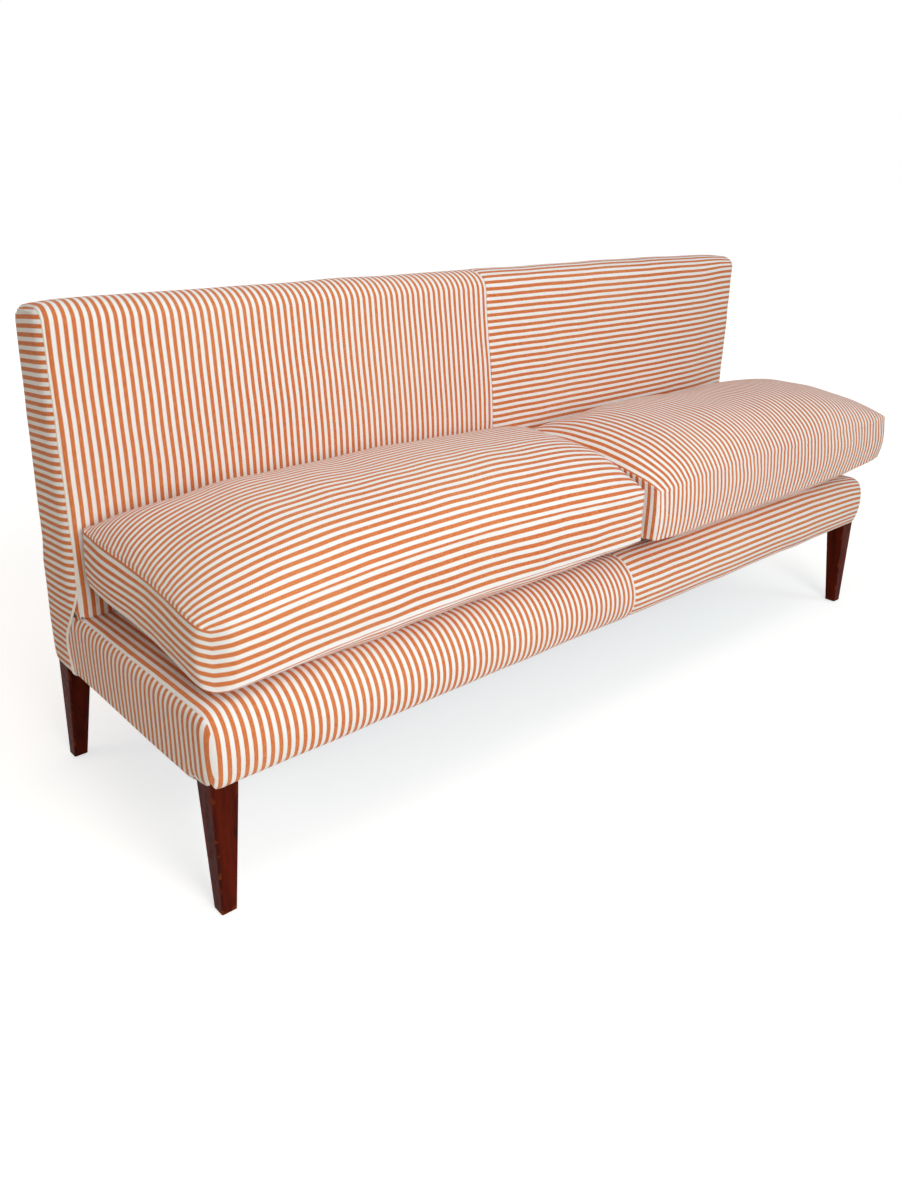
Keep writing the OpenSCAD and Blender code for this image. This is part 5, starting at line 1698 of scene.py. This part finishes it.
WRAP_INSET = 9.0
for hand, spec in SPECS.items():
    low, high = in_mm(hand + "_cushion_core")
    places, faces = rounded_block(low, high, 7.0)
    name, body = hand + "_core_block", hand + "_cushion"
    mesh = facing_out(make_mesh(name, to_frame(places), faces))
    add_padding(name, hand + "_cushion_core", mesh, foam, body)

    islands = []
    for points in (
        face_points(spec, u_grid, v_grid, True, WRAP_INSET),
        face_points(spec, u_grid, v_grid, False, WRAP_INSET),
        boxing_points(spec, np.linspace(0, 1, 7), WRAP_INSET),
    ):
        turned = np.sum(normals_of(points) * outward(points, CUSHION_MIDDLE)) < 0
        islands.append((points + cushion_centre(spec), points[..., :2] * MM, turned))
    name = hand + "_fibre_wrap"
    mesh = facing_out(islands_mesh(name, islands))
    hollow, hollow_faces = rounded_block(low - 0.6, high + 0.6, 6.0)
    work = bmesh.new()
    work.from_mesh(mesh)
    added = [work.verts.new(place) for place in to_frame(hollow)]
    shell = [work.faces.new([added[k] for k in face]) for face in hollow_faces]
    bmesh.ops.recalc_face_normals(work, faces=shell)
    bmesh.ops.reverse_faces(work, faces=shell)
    work.to_mesh(mesh)
    work.free()
    add_padding(name, hand + "_cushion_wrap", mesh, fibre, body)
print("cushions filled:", ", ".join(SPECS))

# %% [markdown]
# ## Webbing, hessian, lining and dust cover
#
# The seat and the back are slung on jute webbing, woven over and under. Each strap
# follows a path that rises over one crossing and dips under the next. Hessian
# covers the webbing, a lining backs the rear cloth, and a black cloth closes the
# underside, where it sags a little between the rails.

# %% Weave the webbing
STRAP_W, STRAP_T, STRAP_LAP = 50.0, 1.8, 20.0
LEVEL = (STRAP_T + GAP) / 2


def strap_path(start, stop, crossings, first):
    """Where a strap runs, and how high it lies: over and under in turn, and low at its ends."""
    keys = [(start, -1), (start + STRAP_LAP, -1)]
    for i, place in enumerate(crossings):
        side = ((i + first) % 2) * 2 - 1
        keys += [(place + end * (STRAP_W / 2 + STRAP_T), side) for end in (-1, 1)]
    keys += [(stop - STRAP_LAP, -1), (stop, -1)]
    along, level = [], []
    for (a, la), (b, lb) in zip(keys, keys[1:]):
        for t in (0, 0.25, 0.5, 0.75):
            along.append(a * (1 - t) + b * t)
            level.append(la + (lb - la) * t * t * (3 - 2 * t))
    return np.array([*along, stop]), np.array([*level, -1.0]) * LEVEL


def strap_part(start, stop, crossings, first, centre, place):
    """One strap as a cloth part. Place turns (along, across, level) into a point."""
    along, level = strap_path(start, stop, crossings, first)
    across = centre + np.array([-0.5, -0.46, 0, 0.46, 0.5]) * STRAP_W
    a, c = np.meshgrid(along, across, indexing="ij")
    h = np.broadcast_to(level[:, None], a.shape) + STRAP_T / 2
    points = place(a, c, h)
    below = place(np.array(a.mean()), np.array(c.mean()), np.array(-500.0))
    flat = np.stack([c, a], axis=2) * MM
    return cloth_part(points, flat, below, None, STRAP_T)


def middles(low, high, count):
    return [low + (high - low) * (i + 0.5) / count for i in range(count)]


rail_in = -in_mm("end_rail_left")[1][0]
seat_low_y, seat_high_y = in_mm("front_rail")[1][1], in_mm("seat_rear_rail")[0][1]
post_in = -in_mm("back_post_left")[1][0]
low_z, high_z = in_mm("back_lower_rail")[1][2], in_mm("back_top_rail")[0][2]
weave_z = sum(box[2] for box in in_mm("seat_webbing_cross")) / 2
weave_y = sum(box[1] for box in in_mm("back_webbing_level")) / 2
seat_x, seat_y = middles(-rail_in, rail_in, 16), middles(seat_low_y, seat_high_y, 4)
back_x, back_z = middles(-post_in, post_in, 14), middles(low_z, high_z, 3)
WEBS = {
    "seat_webbing_cross": (
        seat_x, seat_low_y, seat_high_y, seat_y, 0,
        lambda a, c, h: np.stack([c, a, weave_z + h], axis=-1),
    ),
    "seat_webbing_long": (
        seat_y, -rail_in, rail_in, seat_x, 1,
        lambda a, c, h: np.stack([a, c, weave_z + h], axis=-1),
    ),
    "back_webbing_upright": (
        back_x, low_z, high_z, back_z, 0,
        lambda a, c, h: np.stack([c, weave_y - h, a], axis=-1),
    ),
    "back_webbing_level": (
        back_z, -post_in, post_in, back_x, 1,
        lambda a, c, h: np.stack([a, weave_y - h, c], axis=-1),
    ),
}
for node_name, (centres, low, high, crossings, first, place) in WEBS.items():
    parts = [
        strap_part(low - STRAP_LAP, high + STRAP_LAP, crossings, (i + first) % 2, centre, place)
        for i, centre in enumerate(centres)
    ]
    name = node_name.replace("webbing", "straps")
    made = new_object(name, joined_mesh(name, parts), jute_flat, "frame")
    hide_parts(node_name)
print("webbing:", {name: len(web[0]) for name, web in WEBS.items()})

# %% Lay the hessian, the lining and the dust cover
FLAT_END = 975.0


def add_sheet(name, node_name, finish, points, inside, thick, keep=None):
    """A plain sheet in place of a CAD node, with its flat size taken from its own lengths."""
    across, along = lengths_along(points, 0), lengths_along(points, 1)
    flat = np.stack([across, along], axis=2) * MM
    made = new_object(name, cloth_mesh(name, points, flat, inside, keep, thick), finish, "frame")
    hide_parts(node_name)


def flat_grid(xs, ys, height):
    x, y = np.meshgrid(xs, ys, indexing="ij")
    return np.stack([x, y, height(x, y)], axis=2)


sheet_x = np.linspace(-FLAT_END, FLAT_END, 90)
low, high = in_mm("seat_hessian")
sheet_y = np.linspace(low[1] + 1, high[1] - 1, 30)
points = flat_grid(sheet_x, sheet_y, lambda x, y: np.full_like(x, high[2]))
add_sheet("seat_hessian_cloth", "seat_hessian", hessian_flat, points, (0, 250, 0), 1.0)
low, high = in_mm("back_hessian")
sheet_z = np.linspace(low[2], high[2], 30)
points = flat_grid(sheet_x, sheet_z, lambda x, z: np.full_like(x, low[1]))[..., [0, 2, 1]]
behind = (0, 2000, 600)
add_sheet("back_hessian_cloth", "back_hessian", hessian_flat, points, behind, 1.0)
low, high = in_mm("outside_back_lining")
lining_z = np.linspace(high[2], low[2], 40)
lining_y = np.interp(lining_z, [KNEE_Z, TURN_Z, TOP], [REAR, REAR_TOP + 1.5, REAR_TOP]) - 3.1
lining = np.stack([lining_y, lining_z], axis=1)
points = with_x(sheet_x, np.broadcast_to(lining, (len(sheet_x), *lining.shape)))
add_sheet(
    "outside_back_calico", "outside_back_lining", calico_flat, points, (0, 0, 600), 0.9
)
low, high = in_mm("dust_cover")
edge_x = HALF - LEG_INSET - LEG_W - GAP
LEG_CUT = 57
SAG = 2.6
dust_x = np.array(sorted([*np.linspace(low[0] + 8, high[0] - 8, 100), -edge_x - 3, edge_x + 3]))
leg_lines = (LEG_CUT, REAR - LEG_CUT)
dust_y = np.array(sorted([*np.linspace(low[1] + 16, high[1] - 10, 40), *leg_lines]))
points = flat_grid(
    dust_x, dust_y,
    lambda x, y: HEM - 0.1 - SAG
    * np.clip(1 - np.abs(x / 975) ** 6, 0, 1)
    * np.clip(1 - np.abs((y - 310) / 296) ** 4, 0, 1)
    * np.abs(np.sin(np.pi * (x + 990) / 495)) ** 0.8,
)
middle = (points[:-1, :-1] + points[1:, 1:]) / 2
at_leg = (middle[..., 1] < leg_lines[0]) | (middle[..., 1] > leg_lines[1])
keep = ~((np.abs(middle[..., 0]) > edge_x) & at_leg)
above = (0, 300, 900)
add_sheet("dust_cover_cloth", "dust_cover", dust_flat, points, above, 0.7, keep)
print("sheets inside and underneath: 4")

# %% [markdown]
# ## Stitches, staples and zip teeth
#
# Small things that repeat along a line are set by one Geometry Nodes tree. It takes
# a line, steps along it, and puts a short bar at each step, turned to a mix of the
# line's own way and a given way across it. The bars are then made real and get
# their material, so that each row becomes one plain mesh.

# %% Build the tree that sets bars along a line
def bar_tree():
    """Geometry Nodes that set short bars along a line."""
    tree = bpy.data.node_groups.new("bars_along_a_line", "GeometryNodeTree")
    sockets = tree.interface
    sockets.new_socket("Line", in_out="INPUT", socket_type="NodeSocketGeometry")
    for label, kind in (
        ("Step", "Float"), ("Bar Length", "Float"), ("Bar Radius", "Float"), ("Across", "Vector"),
        ("Along Share", "Float"), ("Unevenness", "Float"), ("Seed", "Int"), ("Finish", "Material"),
    ):
        sockets.new_socket(label, in_out="INPUT", socket_type="NodeSocket" + kind)
    sockets.new_socket("Bars", in_out="OUTPUT", socket_type="NodeSocketGeometry")
    given = tree.nodes.new("NodeGroupInput").outputs
    line = node(tree, "GeometryNodeMeshToCurve", {"Mesh": given["Line"]}).outputs[0]
    stepped = node(
        tree, "GeometryNodeResampleCurve", {"Curve": line, "Length": given["Step"]}, mode="LENGTH"
    ).outputs[0]
    bar = node(
        tree,
        "GeometryNodeMeshCylinder",
        {"Vertices": 6, "Radius": given["Bar Radius"], "Depth": given["Bar Length"]},
    ).outputs["Mesh"]
    tangent = node(tree, "GeometryNodeInputTangent").outputs[0]
    along = node(
        tree, "ShaderNodeVectorMath", {0: tangent, 3: given["Along Share"]}, operation="SCALE"
    ).outputs[0]
    stray = node(
        tree,
        "FunctionNodeRandomValue",
        {0: (-1, -1, -1), 1: (1, 1, 1), "Seed": given["Seed"]},
        data_type="FLOAT_VECTOR",
    ).outputs[0]
    stray = node(
        tree, "ShaderNodeVectorMath", {0: stray, 3: given["Unevenness"]}, operation="SCALE"
    ).outputs[0]
    way = node(tree, "ShaderNodeVectorMath", {0: along, 1: given["Across"]}, operation="ADD")
    way = node(tree, "ShaderNodeVectorMath", {0: way.outputs[0], 1: stray}, operation="ADD")
    turn = node(
        tree, "FunctionNodeAlignRotationToVector", {"Vector": way.outputs[0]}, axis="Z"
    ).outputs[0]
    bars = node(
        tree,
        "GeometryNodeInstanceOnPoints",
        {"Points": stepped, "Instance": bar, "Rotation": turn},
    ).outputs[0]
    bars = node(tree, "GeometryNodeRealizeInstances", {0: bars}).outputs[0]
    bars = node(
        tree, "GeometryNodeSetMaterial", {"Geometry": bars, "Material": given["Finish"]}
    ).outputs[0]
    tree.links.new(bars, tree.nodes.new("NodeGroupOutput").inputs[0])
    return tree


bars_along = bar_tree()
print("bar tree:", len(bars_along.nodes), "nodes")


# %% Set the stitches and the staples
def set_bars(name, lines, body, slot, **sizes):
    """Runs the tree on lines, given in drafting millimetres, and keeps the result as one mesh."""
    places, edges = [], []
    for line in lines:
        first = len(places)
        places += [tuple(p) for p in to_frame(line)]
        edges += [(first + k, first + k + 1) for k in range(len(line) - 1)]
    mesh = bpy.data.meshes.new(name + "_line")
    mesh.from_pydata(places, edges, [])
    holder = linked(name + "_line", mesh)
    setter = holder.modifiers.new("bars", "NODES")
    setter.node_group = bars_along
    sockets = {item.name: item.identifier for item in bars_along.interface.items_tree}
    for label, value in sizes.items():
        setter[sockets[label.replace("_", " ").title()]] = value
    ready = holder.evaluated_get(bpy.context.evaluated_depsgraph_get())
    made = bpy.data.meshes.new_from_object(ready)
    bpy.data.objects.remove(holder)
    made.name = name
    made.shade_smooth()
    made.set_sharp_from_angle(angle=math.radians(50))
    piece = linked(name, made)
    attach(piece, body)
    return piece


for side, hand in SIDES:
    line = resampled(folded_edges[hand], 4.0)[6:-6]
    low = lowness(line)[:, None]
    to_front, to_end = np.array([side * 1.0, -1.0, 0]), np.array([side * 1.5, 0, 0])
    line = line + to_front * (1 - low) * 1.2 + to_end * low
    stitches = set_bars(
        "blind_stitches_" + hand, [line], "frame", "ticking_stripe",
        step=0.008, bar_length=0.0034, bar_radius=0.00042, across=(side * 0.35, -0.5, 0.0),
        along_share=0.75, unevenness=0.12, seed=5, finish=thread_material,
    )
low, high = in_mm("dust_cover")
z = HEM - 0.7
rail_x, near_y, far_y = high[0] - 70, low[1] + 12, high[1] - 12
end_x, past_legs = high[0] - 10, 72
dust_edges = [
    *[np.array([(-rail_x, y, z), (rail_x, y, z)]) for y in (near_y, far_y)],
    *[np.array([(s * end_x, past_legs, z), (s * end_x, REAR - past_legs, z)]) for s, _ in SIDES],
]
staples = set_bars(
    "dust_cover_staples", dust_edges, "frame", "zinc_steel",
    step=0.038, bar_length=0.0105, bar_radius=0.0005, across=(0.0, 0.0, 0.0),
    along_share=1.0, unevenness=0.16, seed=8, finish=zinc_steel,
)
for hand in SPECS:
    low, high = in_mm(hand + "_cushion_zip")
    middle_z, rear = (low[2] + high[2]) / 2, high[1]
    line = np.array([(low[0] + 8, rear - 1.7, middle_z), (high[0] - 8, rear - 1.7, middle_z)])
    teeth = set_bars(
        hand + "_zip_teeth", [line], hand + "_cushion", "zip_metal",
        step=0.0028, bar_length=0.0046, bar_radius=0.00075, across=(0.0, 0.0, 1.0),
        along_share=0.0, unevenness=0.0, seed=1, finish=zip_metal,
    )
print("stitches, staples and teeth:", [len(p.data.polygons) for p in (stitches, staples, teeth)])

# %% [markdown]
# ## The pieces that stay as the CAD model has them
#
# Rails, dowels, screws, zips and glides are already right in shape. They only get
# their finish, which is chosen by the words in their names.

# %% Finish the CAD pieces
FINISHES = {
    "timber": frame_timber,
    "steel": zinc_steel,
    "tape": zip_tape,
    "zip": zip_metal,
}
KINDS = {
    "timber": ["rail", "dowels", "blocks", "post"],
    "steel": ["screws", "washers", "glides"],
    "tape": ["cushion_zip"],
    "zip": ["zip_slider"],
}
for node_name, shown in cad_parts.items():
    if shown.hide_render:
        continue
    kind = next(k for k, words in KINDS.items() if any(w in node_name for w in words))
    for index in range(max(1, len(shown.material_slots))):
        if not shown.material_slots:
            shown.data.materials.append(FINISHES[kind])
        else:
            shown.material_slots[index].material = FINISHES[kind]
print("CAD pieces finished:", sum(not n.hide_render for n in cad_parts.values()))
